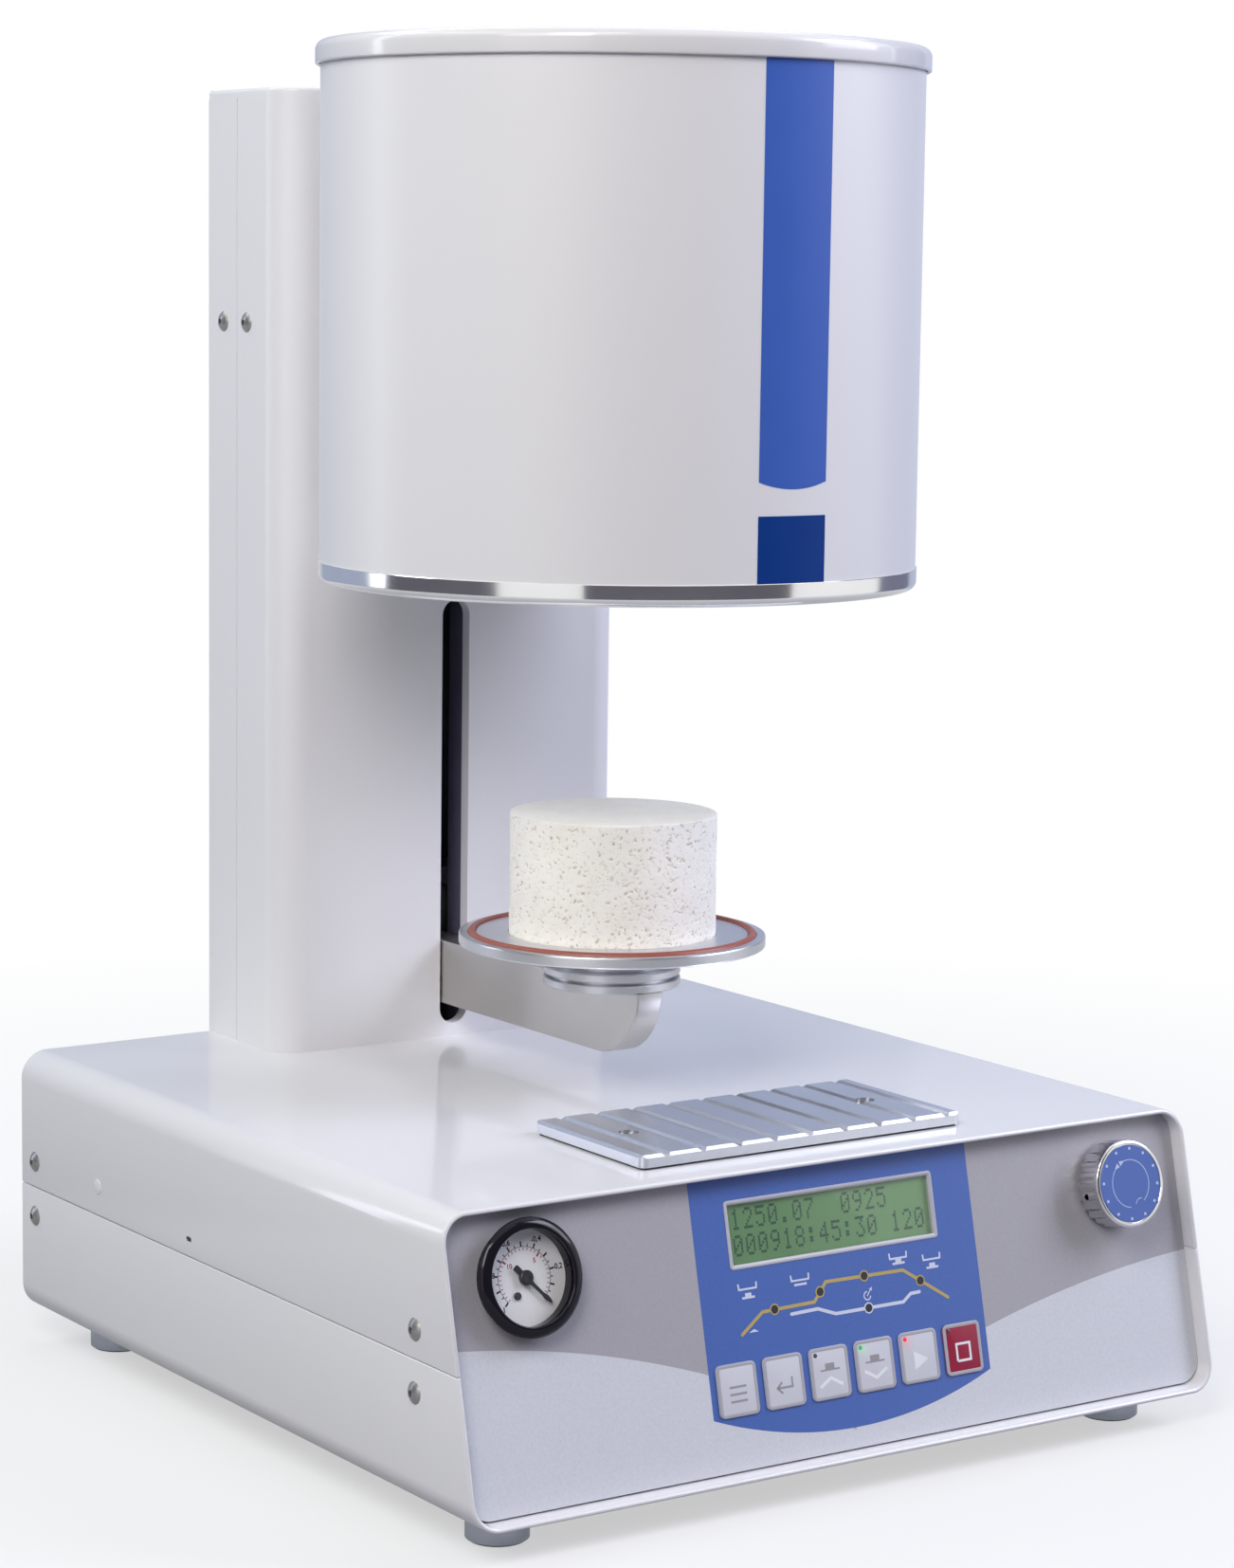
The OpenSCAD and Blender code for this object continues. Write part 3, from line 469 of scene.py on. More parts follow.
def put(name, shape, finish, body="base", stands_for=(), crease=35):
    """Makes the mesh at the origin in metres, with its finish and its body."""
    global piece_count
    points, faces = facing_out(*shape)
    mesh = as_mesh(name, points * MM, faces)
    mesh.shade_smooth()
    mesh.set_sharp_from_angle(angle=math.radians(crease))
    mesh.materials.append(finish)
    piece = bpy.data.objects.new(name, mesh)
    scene.collection.objects.link(piece)
    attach(piece, body)
    if stands_for:
        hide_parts(*stands_for)
    piece_count += 1
    return piece


print("pieces so far:", piece_count)

# %% Outlines: rounded corners, arcs and rectangles
def arc(centre, radius, start, end, count=24):
    """Points on a circle from one angle to another, both in degrees."""
    t = np.radians(np.linspace(start, end, count))
    return np.array(centre, float) + radius * np.stack([np.cos(t), np.sin(t)], 1)


def circle_outline(radius, count):
    """Points all round a circle, the first not repeated."""
    return arc((0, 0), radius, 0, 360, count + 1)[:-1]


def rounded(outline, radii, steps=6):
    """Cuts each corner of a closed outline with an arc that touches both of its sides.
    The arc starts radius / tan(half the corner's angle) away from the corner, its centre lies on the
    corner's bisector, and its points swing evenly from one touching point to the other."""
    p = np.asarray(outline, float)
    r = np.maximum(np.broadcast_to(radii, len(p)).astype(float), 1e-3)[:, None]
    u, v = np.roll(p, 1, 0) - p, np.roll(p, -1, 0) - p
    u, v = u / np.linalg.norm(u, axis=1)[:, None], v / np.linalg.norm(v, axis=1)[:, None]
    half = np.arccos(np.clip((u * v).sum(1), -1, 1))[:, None] / 2
    middle = p + (u + v) / np.linalg.norm(u + v, axis=1)[:, None] * r / np.sin(half)
    a, b = (p + u * r / np.tan(half) - middle) / r, (p + v * r / np.tan(half) - middle) / r
    swing = (np.pi - 2 * half)[:, :, None]
    s = np.linspace(0, 1, steps)[None, :, None]
    way = (np.sin((1 - s) * swing) * a[:, None] + np.sin(s * swing) * b[:, None]) / np.sin(swing)
    return (middle[:, None] + way * r[:, :, None]).reshape(-1, 2)


def rounded_box(x0, y0, x1, y1, radius, steps=7):
    """A rectangle with rounded corners, counter-clockwise."""
    return rounded([(x0, y0), (x1, y0), (x1, y1), (x0, y1)], radius, steps)


def inset(outline, depth):
    """A closed outline moved inwards: each point goes along the mitre of its two sides."""
    side = np.roll(outline, -1, 0) - outline
    side = side / np.linalg.norm(side, axis=1)[:, None]
    inward = np.stack([-side[:, 1], side[:, 0]], 1)
    before = np.roll(inward, 1, 0)
    mitre = (before + inward) / (1 + (before * inward).sum(1))[:, None]
    return outline + depth * mitre


print("points of a rounded box:", len(rounded_box(0, 0, 4, 2, 0.5)))

# %% Solids from outlines
def lathe(profile, count=160, closed=True):
    """A turned solid: profile point (r, z) goes to (r cos t, r sin t, z) for every angle t.
    A closed profile makes a ring, and an open one starts and ends on the axis."""
    r, z = np.asarray(profile, float).T
    t = np.linspace(0, 2 * np.pi, count, endpoint=False)[:, None]
    points = np.stack([r * np.cos(t), r * np.sin(t), z + 0 * t], axis=-1).reshape(-1, 3)
    return facing_out(*welded(points, [grid_faces(count, len(r), True, closed)]))


def crisp(profile, near=0.2):
    """Adds a point close to both ends of every long step. Smooth shading then stays at the edges."""
    line = [np.array(profile[0], float)]
    for a, b in zip(np.array(profile[:-1], float), np.array(profile[1:], float)):
        step = (b - a) / np.linalg.norm(b - a) * near
        line += [a + step, b - step] if np.linalg.norm(b - a) > 5 * near else []
        line.append(b)
    return np.array(line)


def slab(outline, steps):
    """A raised outline with shaped edges: steps are pairs (inset, height) from bottom to top."""
    return tube([lifted(inset(outline, d), z) for d, z in steps])


def soft_slab(outline, z0, z1, soft, steps=5):
    """A slab whose top edge is rounded: inset soft (1 - cos a), height z1 - soft (1 - sin a)."""
    a = np.linspace(0, np.pi / 2, steps)
    top = np.stack([soft * (1 - np.cos(a)), z1 - soft * (1 - np.sin(a))], 1)
    return slab(outline, [(0, z0), *top])


def prisms_of(flat, z0, z1):
    """Prisms from z0 to z1 over a stack of flat outlines with the same number of corners."""
    k, n = flat.shape[:2]
    points = np.concatenate([np.insert(flat, 2, z0, axis=2), np.insert(flat, 2, z1, axis=2)], axis=1)
    i = np.arange(n)
    side = np.stack([i, (i + 1) % n, (i + 1) % n + n, i + n], 1)
    start = np.arange(k) * 2 * n
    sides = (start[:, None, None] + side).reshape(-1, 4)
    return facing_out(points.reshape(-1, 3), [sides, start[:, None] + n + i, start[:, None] + i[::-1]])


def prisms(outline, centres, z0, z1):
    """Copies of one flat outline, each raised from z0 to z1 around its own centre."""
    return prisms_of(np.atleast_2d(centres)[:, None] + np.asarray(outline, float), z0, z1)


def as_mesh(name, points, faces):
    """A Blender mesh from a shape."""
    mesh = bpy.data.meshes.new(name)
    mesh.from_pydata(points.tolist(), [], [face for ring in faces for face in ring.tolist()])
    mesh.update()
    return mesh


def drilled(shape, drill):
    """Cuts one solid out of another with Blender's exact boolean, and reads the arrays back."""
    solid, tool = (bpy.data.objects.new("cut", as_mesh("cut", *part)) for part in (shape, drill))
    for holder in (solid, tool):
        scene.collection.objects.link(holder)
    cut = solid.modifiers.new("cut", "BOOLEAN")
    cut.object, cut.operation, cut.solver = tool, "DIFFERENCE", "EXACT"
    bpy.context.view_layer.update()
    done = bpy.data.meshes.new_from_object(solid.evaluated_get(bpy.context.evaluated_depsgraph_get()))
    points, sizes = np.empty(len(done.vertices) * 3), np.empty(len(done.polygons), int)
    corners = np.empty(len(done.loops), int)
    done.vertices.foreach_get("co", points)
    done.polygons.foreach_get("loop_total", sizes)
    done.loops.foreach_get("vertex_index", corners)
    starts = np.cumsum(sizes) - sizes
    faces = [corners[starts[sizes == n][:, None] + np.arange(n)] for n in np.unique(sizes)]
    for holder in (solid, tool):
        bpy.data.objects.remove(holder)
    return points.reshape(-1, 3), faces


def stroke(line, width, z0, z1, closed=False, blunt=False):
    """A flat bar along a line. Each point gets a corner half a width to either side of the mean of
    its two directions, longer by the mitre, and open ends are finished with a half circle."""
    line = np.asarray(line, float)
    half = np.full(len(line), width / 2)
    if not closed and not blunt:
        a = np.radians([90, 60, 30])
        for end, inner in ((0, 1), (-1, -2)):
            ahead = line[end] - line[inner]
            ahead = ahead / np.linalg.norm(ahead)
            cap = line[end] + np.sin(a)[:, None] * ahead * width / 2
            narrow = np.maximum(np.cos(a), 0.05) * width / 2
            if end == 0:
                line, half = np.concatenate([cap, line]), np.concatenate([narrow, half])
            else:
                line, half = np.concatenate([line, cap[::-1]]), np.concatenate([half, narrow[::-1]])
    ahead = np.roll(line, -1, 0) - line
    if not closed:
        ahead[-1] = ahead[-2]
    ahead = ahead / np.linalg.norm(ahead, axis=1)[:, None]
    back = np.roll(ahead, 1, 0)
    if not closed:
        back[0] = ahead[0]
    mean = ahead + back
    mean = mean / np.linalg.norm(mean, axis=1)[:, None]
    reach = (half / np.clip((mean * ahead).sum(1), 0.4, 1))[:, None]
    side = np.stack([-mean[:, 1], mean[:, 0]], 1) * reach
    left, right = line + side, line - side
    corners = [(left, z1), (right, z1), (right, z0), (left, z0)]
    return tube(np.stack([lifted(p, z) for p, z in corners], 1), closed)


turned_disc = lathe([(0, 0), (1, 0), (1, 1), (0, 1)], closed=False)
print("a turned disc of radius and height 1 holds", round(volume_of(*turned_disc), 2))

# %% [markdown]
# ## Paint
#
# The sheet metal is stove enamelled: a pale, slightly cool grey under a smooth gloss. Sprayed paint
# is never quite flat. Its gloss ripples over one to three millimetres, which painters call orange
# peel, and this is what breaks up the mirror images in the base. A noise bump at that scale does
# it, on the colour coat and on the clear coat alike. The lid's flat top is duller than its rim.

# %% Stove enamel
enamel_grey = (0.75, 0.742, 0.765)


def enamel(name, colour, coat=0.75, coat_roughness=0.07):
    """Gloss paint: orange peel in the coat, and a tone that drifts by two parts in a hundred."""
    gloss = {"Coat_Weight": coat, "Coat_Roughness": coat_roughness, "Specular_IOR_Level": 0.35}
    material, tree, shader = new_finish(name, colour, 0.38, **gloss)
    where = place_in(tree)
    drift = noise(tree, where, 7.0, 2.0)
    drift_tone(tree, shader, drift, colour, 0.975, 1.01)
    peel = noise(tree, where, 520.0, 1.0)
    fine = noise(tree, where, 1900.0, 1.0)
    both = reckon(tree, "MULTIPLY_ADD", fine, 0.35, peel)
    raise_by(tree, shader, both, 0.016, 0.8, coat=True)
    fill(tree, shader.inputs["Roughness"], mapped(tree, fine, 0.2, 0.8, 0.34, 0.42))
    return material


paint = enamel("enamel_grey", enamel_grey)
drum_paint = enamel("enamel_drum", (0.78, 0.77, 0.79), 0.35, 0.3)
lid_paint = enamel("enamel_lid", (0.745, 0.735, 0.75), 0.8, 0.09)


def matt_on_top(material, **dull):
    """Duller gloss where the paint faces up: spray mist settles on a lid that is painted lying down."""
    tree = material.node_tree
    shader = tree.nodes["Principled BSDF"]
    facing = add(tree, "NewGeometry").outputs["Normal"]
    level = add(tree, "SeparateXYZ", None, in0=facing).outputs["Z"]
    for word, value in dull.items():
        socket = shader.inputs[word.replace("_", " ")]
        fill(tree, socket, mapped(tree, level, 0.9, 0.99, socket.default_value, value))


matt_on_top(lid_paint, Coat_Weight=0.0, Specular_IOR_Level=0.1, Roughness=0.65)
print("paints:", paint.name, drum_paint.name, lid_paint.name)

# %% [markdown]
# ## The base case
#
# The case is a sleeve bent from two millimetre sheet, in an upper and a lower half that meet in a
# seam along both sides. The CAD halves have sharp rims. Paint rounds a rim, and the bright line on
# the front edge comes from that rounding, so each half is built again: the sheet's section, a long
# slot shape with a round front end, is carried along the bent outline. Its front end follows the
# lean. The small oblong vent hole in the left side is cut afterwards, with a slab as the drill.

# %% The bent sheet
case_r, sheet_t = 12.0, 2.0
rim_r = 0.95


def bent_outline(z_from, z_to):
    """Right side, top or bottom bend and left side of the case, as points and outward normals."""
    w, r = high_case[0], case_r
    z_end = z_to - r if z_to > z_from else z_to + r
    turn = 1 if z_to > z_from else -1
    a = np.radians(np.linspace(0, 90, 19))
    right = np.stack([w - r + r * np.cos(a), z_end + turn * r * np.sin(a)], 1)
    normal = np.stack([np.cos(a), turn * np.sin(a)], 1)
    points = np.concatenate([[(w, z_from)], right, (right * [-1, 1])[::-1], [(-w, z_from)]])
    normals = np.concatenate([[(1, 0)], normal, (normal * [-1, 1])[::-1], [(-1, 0)]])
    return points, normals


def sheet_section():
    """The sheet cut along its depth: pairs (y from its end, depth into the sheet) all round it, and
    a 1 for each of them that lies at the front."""
    a = np.radians(np.linspace(0, 90, 6))
    nose = np.stack([rim_r * (1 - np.sin(a)), rim_r * (1 - np.cos(a))], 1)
    outer_front, inner_front = nose, (nose * [1, -1] + [0, sheet_t])[::-1]
    tail = np.array([(0, 0), (0, sheet_t)])
    is_front = np.concatenate([np.ones(len(nose)), np.ones(len(nose)), np.zeros(2)])
    return np.concatenate([outer_front, inner_front, tail[::-1]]), is_front


def half_sleeve(z_seam, z_far):
    """One half of the sleeve: the section at every outline point, pushed in along the normal.
    A front point lies on the leaning plane y = y0 + lean (z - z0); near the seam the section
    shrinks by its edge radius, so that the cut edge is soft."""
    points, normals = bent_outline(z_seam, z_far)
    section, is_front = sheet_section()
    soft = 0.45
    toward = 1 if z_far > z_seam else -1
    a = np.radians([0, 30, 60, 90])
    steps = np.stack([soft * (1 - np.sin(a)), soft * (1 - np.cos(a))], 1)
    first = [(points[0] + [0, toward * s], normals[0], d) for s, d in steps[::-1]]
    last = [(points[-1] + [0, toward * s], normals[-1], d) for s, d in steps]
    rows = first + [(p, n, 0.0) for p, n in zip(points[1:-1], normals[1:-1])] + last
    spot = np.array([p for p, n, d in rows])[:, None]
    normal = np.array([n for p, n, d in rows])[:, None]
    shrink = np.array([d for p, n, d in rows])[:, None]
    depth = np.clip(section[None, :, 1], shrink, sheet_t - shrink)
    flat = spot - normal * depth[:, :, None]
    front_y = low_case[1] + lean * (flat[:, :, 1] - low_case[2]) + section[None, :, 0] + shrink
    y = np.where(is_front[None, :] > 0, front_y, high_case[1] - shrink)
    return tube(np.stack([flat[:, :, 0], y, flat[:, :, 1]], axis=-1))


plug_spot, vent_spot = (115.8, 84.6), (33.0, 79.5)
vent_r, vent_half = 1.05, 2.3


def on_left_side(shape, spot):
    """Lays a shape over: its axis z points left, away from the case wall at the spot y, z."""
    def lay(p):
        return np.stack([low_case[0] - p[:, 2], spot[0] - p[:, 1], spot[1] + p[:, 0]], axis=-1)
    return placed(shape, lay)


vent_line = rounded_box(-vent_r, -vent_half, vent_r, vent_half, vent_r - 0.02)
vent_drill = slab(vent_line, [(0, -2 * sheet_t), (0, 1)])
top_half = drilled(half_sleeve(above_seam[2], high_case[2]), on_left_side(vent_drill, vent_spot))
bottom_half = half_sleeve(box_of("lower_shell")[1][2], low_case[2])
put("case_top", top_half, paint, stands_for=["upper_shell"])
put("case_bottom", bottom_half, paint, stands_for=["lower_shell"])
volumes = [round(volume_of(*half) / 1000) for half in (top_half, bottom_half)]
print("sleeve volume", volumes[0], "and", volumes[1], "cm3")

# %% [markdown]
# ## A plug in the left side
#
# The left side has a small painted plug near the back, pressed into a spare hole. It is a flat
# turned button. A lathe turns about z, so the button is laid over to face left, as the drill was.
# The vent hole gets its dark plug further down, once there is a black plastic for it.

# %% Plug on the left side
plug_profile = [(0, -0.5), (3.3, -0.5), (3.3, 0.05), (3.1, 0.28), (2.6, 0.4), (0, 0.45)]
put("case_plug", on_left_side(lathe(plug_profile, 48, False), plug_spot), paint)
print("plug at y, z", plug_spot)

# %% [markdown]
# ## Metals
#
# Bare metal gets its look from its tool marks. Turned parts carry fine rings about their axis,
# brushed and milled parts carry lines in one direction, and blasted parts are evenly dull. All three
# are noise bumps. Only the coordinate changes: the distance from the axis, a stretched place, or
# the plain place.

# %% Turned, brushed and blasted metal
def ring_distance(tree, centre_mm, axis):
    """How far a point is from an axis: the length of (point - centre) x axis."""
    where = add(tree, "TexCoord").outputs["Object"]
    centre = tuple(float(c) * MM for c in centre_mm)
    off = reckon_vector(tree, "SUBTRACT", where, centre)
    return reckon_vector(tree, "LENGTH", reckon_vector(tree, "CROSS_PRODUCT", off, tuple(axis)), out=1)


def stains(tree, shader, colour, low, high, spread):
    """Drifts the colour and the roughness of a metal in soft patches, as handling leaves them."""
    patch = noise(tree, place_in(tree), 36.0, 4.0, 0.6)
    drift_tone(tree, shader, patch, colour, 1 - spread, 1)
    fill(tree, shader.inputs["Roughness"], mapped(tree, patch, 0.3, 0.7, low, high))


def turned_metal(name, colour, centre_mm, axis, low=0.22, high=0.32, depth=0.006, spread=0.12):
    """Metal from a lathe: rings of random height, ten to the millimetre and two to the millimetre."""
    material, tree, shader = new_finish(name, colour, low, Metallic=1.0)
    away = ring_distance(tree, centre_mm, axis)
    height = [reckon(tree, "MULTIPLY", away, 1000.0 * lines) for lines in (9.0, 2.2)]
    rings = [add(tree, "TexNoise", {"noise_dimensions": "1D"}, W=h, Scale=1.0).outputs[0] for h in height]
    both = reckon(tree, "MULTIPLY_ADD", rings[1], 0.6, rings[0])
    raise_by(tree, shader, both, depth, 0.7)
    stains(tree, shader, colour, low, high, spread)
    return material


def brushed_metal(name, colour, along, low=0.25, high=0.36, depth=0.006, fine=2600.0, spread=0.12):
    """Metal with lines along x, y or z: noise that is stretched sixty times in that direction."""
    material, tree, shader = new_finish(name, colour, low, Metallic=1.0)
    stretch = [fine / 60 if axis == along else fine for axis in "xyz"]
    lines = noise(tree, place_in(tree, stretch), 1.0, 2.0, 0.6)
    raise_by(tree, shader, lines, depth, 0.8)
    stains(tree, shader, colour, low, high, spread)
    return material


def blasted_metal(name, colour, low=0.42, high=0.5, metallic=1.0):
    """Metal dulled by bead blasting or a cast skin: even fine grain."""
    material, tree, shader = new_finish(name, colour, low, Metallic=metallic)
    raise_by(tree, shader, noise(tree, place_in(tree), 2400.0, 3.0, 0.6), 0.012, 0.6)
    stains(tree, shader, colour, low, high, 0.08)
    return material


def dress(finish, *nodes):
    """Gives CAD nodes a finish, in every material slot that they have."""
    for node in nodes:
        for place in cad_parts[node].material_slots:
            place.material = finish


sheet_steel = brushed_metal("sheet_steel", (0.56, 0.57, 0.58), "x", 0.32, 0.45)
brass = brushed_metal("brass", (0.78, 0.60, 0.30), "y", 0.22, 0.34)
black_metal = blasted_metal("black_metal", (0.035, 0.035, 0.04), 0.4, 0.5, 0.3)
arm_metal = blasted_metal("arm_metal", (0.56, 0.545, 0.53), 0.32, 0.38)
coil_wire = brushed_metal("coil_wire", (0.34, 0.31, 0.29), "z", 0.4, 0.55)
metals = (sheet_steel, brass, black_metal, arm_metal, coil_wire)
print("metals:", ", ".join(metal.name for metal in metals))

# %% [markdown]
# ## Plastics, rubber, glass and fibre
#
# Moulded plastic has a fine even grain, rubber is duller and coarser, and the fibre block round the
# muffle is rough and chalky. The same grain, finer and as metal, suits the heads of small screws.
# Thin clear parts are a mix of see-through and mirror, with more mirror at a glancing angle. Such a
# mix casts no dark shadow on what lies behind it.

# %% Grained and clear finishes
def grained(name, colour, low, high, grain=1500.0, depth=0.01, drift=0.06, **more):
    """Moulded, printed or fired stuff: fine grain, with tone and roughness that drift a little."""
    material, tree, shader = new_finish(name, colour, low, **more)
    patch = noise(tree, place_in(tree), 60.0, 3.0)
    drift_tone(tree, shader, patch, colour, 1 - drift, 1 + drift)
    fill(tree, shader.inputs["Roughness"], mapped(tree, patch, 0.3, 0.7, low, high))
    raise_by(tree, shader, noise(tree, place_in(tree), grain, 2.0), depth, 0.6)
    return material


def thin_clear(name, ior=1.45, tint=(1, 1, 1), roughness=0.02):
    """Thin glass or film: see-through and mirror, mixed by angle. The mirror's share grows from
    ((ior - 1) / (ior + 1)) squared, seen head on, with the fifth power of (1 - cosine)."""
    material = bpy.data.materials.new(name)
    material.use_nodes = True
    tree = material.node_tree
    tree.nodes.remove(tree.nodes["Principled BSDF"])
    wave = noise(tree, place_in(tree), 40.0, 1.0)
    bump = add(tree, "Bump", None, Height=wave, Distance=0.02 * MM, Strength=0.3).outputs[0]
    facing = add(tree, "LayerWeight", None, Blend=0.5, Normal=bump).outputs["Facing"]
    head_on = ((ior - 1) / (ior + 1)) ** 2
    edge = reckon(tree, "MULTIPLY_ADD", reckon(tree, "POWER", facing, 5.0), 1 - head_on, head_on)
    through = add(tree, "BsdfTransparent", None, Color=(*tint, 1)).outputs[0]
    mirror = add(tree, "BsdfGlossy", None, Color=(1, 1, 1, 1), Roughness=roughness, Normal=bump).outputs[0]
    both = add(tree, "MixShader", None, in0=edge, in1=through, in2=mirror).outputs[0]
    fill(tree, tree.nodes["Material Output"].inputs["Surface"], both)
    return material


black_plastic = grained("black_plastic", (0.022, 0.022, 0.026), 0.38, 0.5)
foot_rubber = grained("foot_rubber", (0.05, 0.05, 0.055), 0.6, 0.7, 900.0, 0.02)
silicone = grained("silicone", (0.30, 0.075, 0.052), 0.36, 0.5, 1100.0, 0.012, 0.10)
quartz = grained("quartz", (0.78, 0.76, 0.71), 0.3, 0.42, 300.0, 0.02, 0.04)
fibre = grained("fibre", (0.76, 0.72, 0.64), 0.85, 0.95, 420.0, 0.12, 0.07)
rocker_red = grained("rocker_red", (0.42, 0.02, 0.02), 0.25, 0.34, Coat_Weight=0.3, Coat_Roughness=0.1)
screw_steel = grained("screw_steel", (0.37, 0.36, 0.355), 0.34, 0.40, 400.0, 0.001, 0.03, Metallic=1.0)
inner_grey = grained("inner_grey", (0.12, 0.115, 0.15), 0.6, 0.7)
slot_grey = grained("slot_grey", (0.78, 0.76, 0.82), 0.5, 0.6)
channel_dark = grained("channel_dark", (0.105, 0.10, 0.15), 0.6, 0.7)
clear = thin_clear("clear_glass")
print("materials so far:", len(bpy.data.materials))

# %% The dark plug in the vent hole, a little way in
vent_plug = slab(inset(vent_line, -0.1), [(0, -1.3), (0, -0.3)])
put("case_vent", on_left_side(vent_plug, vent_spot), black_plastic)
print("vent at y, z", vent_spot)

# %% [markdown]
# ## The circuit board
#
# Inside, under the case, sits a green board. A board is fibreglass under a green lacquer, with
# copper tracks that show through as paler lines. Bands of two crossed waves stand for the tracks,
# and only their crests count, so that they stay thin.

# %% Board lacquer
board_green = (0.035, 0.16, 0.07)
board, tree, shader = new_finish("board", board_green, 0.3, Coat_Weight=0.4, Coat_Roughness=0.15)
tracks = []
for way in ("X", "Y"):
    band = {"bands_direction": way}
    wave = add(tree, "TexWave", band, Vector=place_in(tree), Scale=55.0, Distortion=6.0, Detail=0.0)
    tracks.append(mapped(tree, wave.outputs["Fac"], 0.86, 0.9, 0.0, 1.0))
crests = reckon(tree, "MAXIMUM", *tracks)
drift_tone(tree, shader, crests, board_green, 1, 1.9)
raise_by(tree, shader, crests, 0.03, 0.5)
dress(board, "control_board", "keypad_board")
print("board lacquer nodes:", len(tree.nodes))

# %% The CAD nodes that keep their shape
dress(screw_steel, "case_screws", "plate_screws", "encoder_body", "encoder_shaft")
dress(sheet_steel, "power_supply", "column_strips", "head_bottom_plate", "head_bracket")
dress(inner_grey, "lift_frame", "lift_carriage", "lead_screw")
dress(slot_grey, "slot_liner")
dress(black_metal, "lift_motor", "gauge_case")
dress(black_plastic, "plate_gasket", "power_inlet", "switch_body")
dress(brass, "lift_nut", "vacuum_nipple")
dress(paint, "rear_panel", "side_rails")
dress(drum_paint, "column_shell", "column_rear_cover")
dress(coil_wire, "heating_coil")
dress(rocker_red, "switch_rocker")
dress(quartz, "muffle")
dress(fibre, "insulation")
polished_rods = brushed_metal("polished_rods", (0.40, 0.39, 0.44), "z", 0.3, 0.4, 0.002)
dress(polished_rods, "guide_rods")
print("dressed so far:", sum(bool(node.data.materials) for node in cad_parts.values()), "nodes")

# %% [markdown]
# ## The front panel and its film
#
# A printed polyester film covers the whole front plate. It shows a pale field below, a grey band
# above two flat arcs, and a blue field with a round lower edge. All its edges are lines and
# circles, so the print is a few yes-or-no tests on the place in panel millimetres. A circle
# through three points of an edge gives each arc.

# %% Places on the panel, inside a shader
def circle_through(a, b, c):
    """Centre and radius of the circle through three points, from its two linear equations."""
    a, b, c = (np.array(p, float) for p in (a, b, c))
    rows = np.stack([b - a, c - a])
    centre = np.linalg.solve(2 * rows, [b @ b - a @ a, c @ c - a @ a])
    return centre, float(np.linalg.norm(a - centre))


def panel_place(tree):
    """Across and up on the panel in millimetres, worked out from the place on the object."""
    where = add(tree, "TexCoord").outputs["Object"]
    origin = tuple(float(v) * MM for v in panel_origin)
    off = reckon_vector(tree, "SUBTRACT", where, origin)
    along = [reckon_vector(tree, "DOT_PRODUCT", off, tuple(axis), out=1) for axis in panel_axes[:2]]
    return [reckon(tree, "DIVIDE", metres, MM) for metres in along]


def within_circle(tree, across, up, centre, radius):
    """1 where the place is nearer to the centre than the radius."""
    dx = reckon(tree, "SUBTRACT", across, float(centre[0]))
    dy = reckon(tree, "SUBTRACT", up, float(centre[1]))
    square = reckon(tree, "MULTIPLY_ADD", dx, dx, reckon(tree, "MULTIPLY", dy, dy))
    return reckon(tree, "LESS_THAN", square, float(radius) ** 2)


def between(tree, value, low, high):
    """1 where a value lies between two others."""
    return reckon(tree, "COMPARE", value, (low + high) / 2, (high - low) / 2)


middle, reach = circle_through((-1, 0), (0, -1), (1, 0))
print("circle through three points: centre", middle, "radius", reach)

# %% The printed film
blue_x0, blue_x1, blue_low, blue_corner = -68.0, 71.0, 12.6, 25.5
blue_arc = circle_through((blue_x0, blue_corner), ((blue_x0 + blue_x1) / 2, blue_low), (blue_x1, blue_corner))
left_arc = circle_through((-177.4, 68.2), (-120.0, 58.8), (-69.1, 43.7))
right_arc = circle_through((71.1, 42.3), (127.0, 53.9), (183.2, 59.9))
pale_ink, band_ink, blue_ink = (0.67, 0.685, 0.735), (0.41, 0.395, 0.43), (0.063, 0.135, 0.44)

film, tree, shader = new_finish("film", pale_ink, 0.34, Coat_Weight=0.25, Coat_Roughness=0.25)
across, up = panel_place(tree)
left_half = reckon(tree, "LESS_THAN", across, 0.0)
low_left = reckon(tree, "MULTIPLY", within_circle(tree, across, up, *left_arc), left_half)
low_right = within_circle(tree, across, up, *right_arc)
low_right = reckon(tree, "MULTIPLY", low_right, reckon(tree, "SUBTRACT", 1.0, left_half))
pale = reckon(tree, "MAXIMUM", low_left, low_right)
blue_band = between(tree, across, blue_x0, blue_x1)
blue = reckon(tree, "MULTIPLY", within_circle(tree, across, up, *blue_arc), blue_band)
ground = blended(tree, pale, (*band_ink, 1), (*pale_ink, 1))
print_ink = blended(tree, blue, ground, (*blue_ink, 1))
mottle = mapped(tree, noise(tree, place_in(tree), 900.0, 2.0), 0.3, 0.7, 0.96, 1.04)
fill(tree, shader.inputs["Base Color"], scaled_by(tree, print_ink, mottle))
raise_by(tree, shader, noise(tree, place_in(tree), 1700.0, 1.0), 0.006, 0.6, coat=True)
dress(film, "front_overlay")
panel_paint = enamel("panel_paint", (0.50, 0.51, 0.56))
dress(panel_paint, "front_panel")
print("blue arc centre", np.round(blue_arc[0], 1), "radius", round(blue_arc[1], 1))

# %% [markdown]
# ## The display
#
# The display is a green liquid crystal module behind a clear window, in a raised pale frame. The
# frame is a small section carried round the window. The characters are real dots: each one is a
# grid of five by seven cells, and only the dark cells become little prisms. They show numbers only.

# %% Frame and pane
window_mid = (window_lo + window_hi) / 2
half_w, half_h = (window_hi - window_lo)[:2] / 2


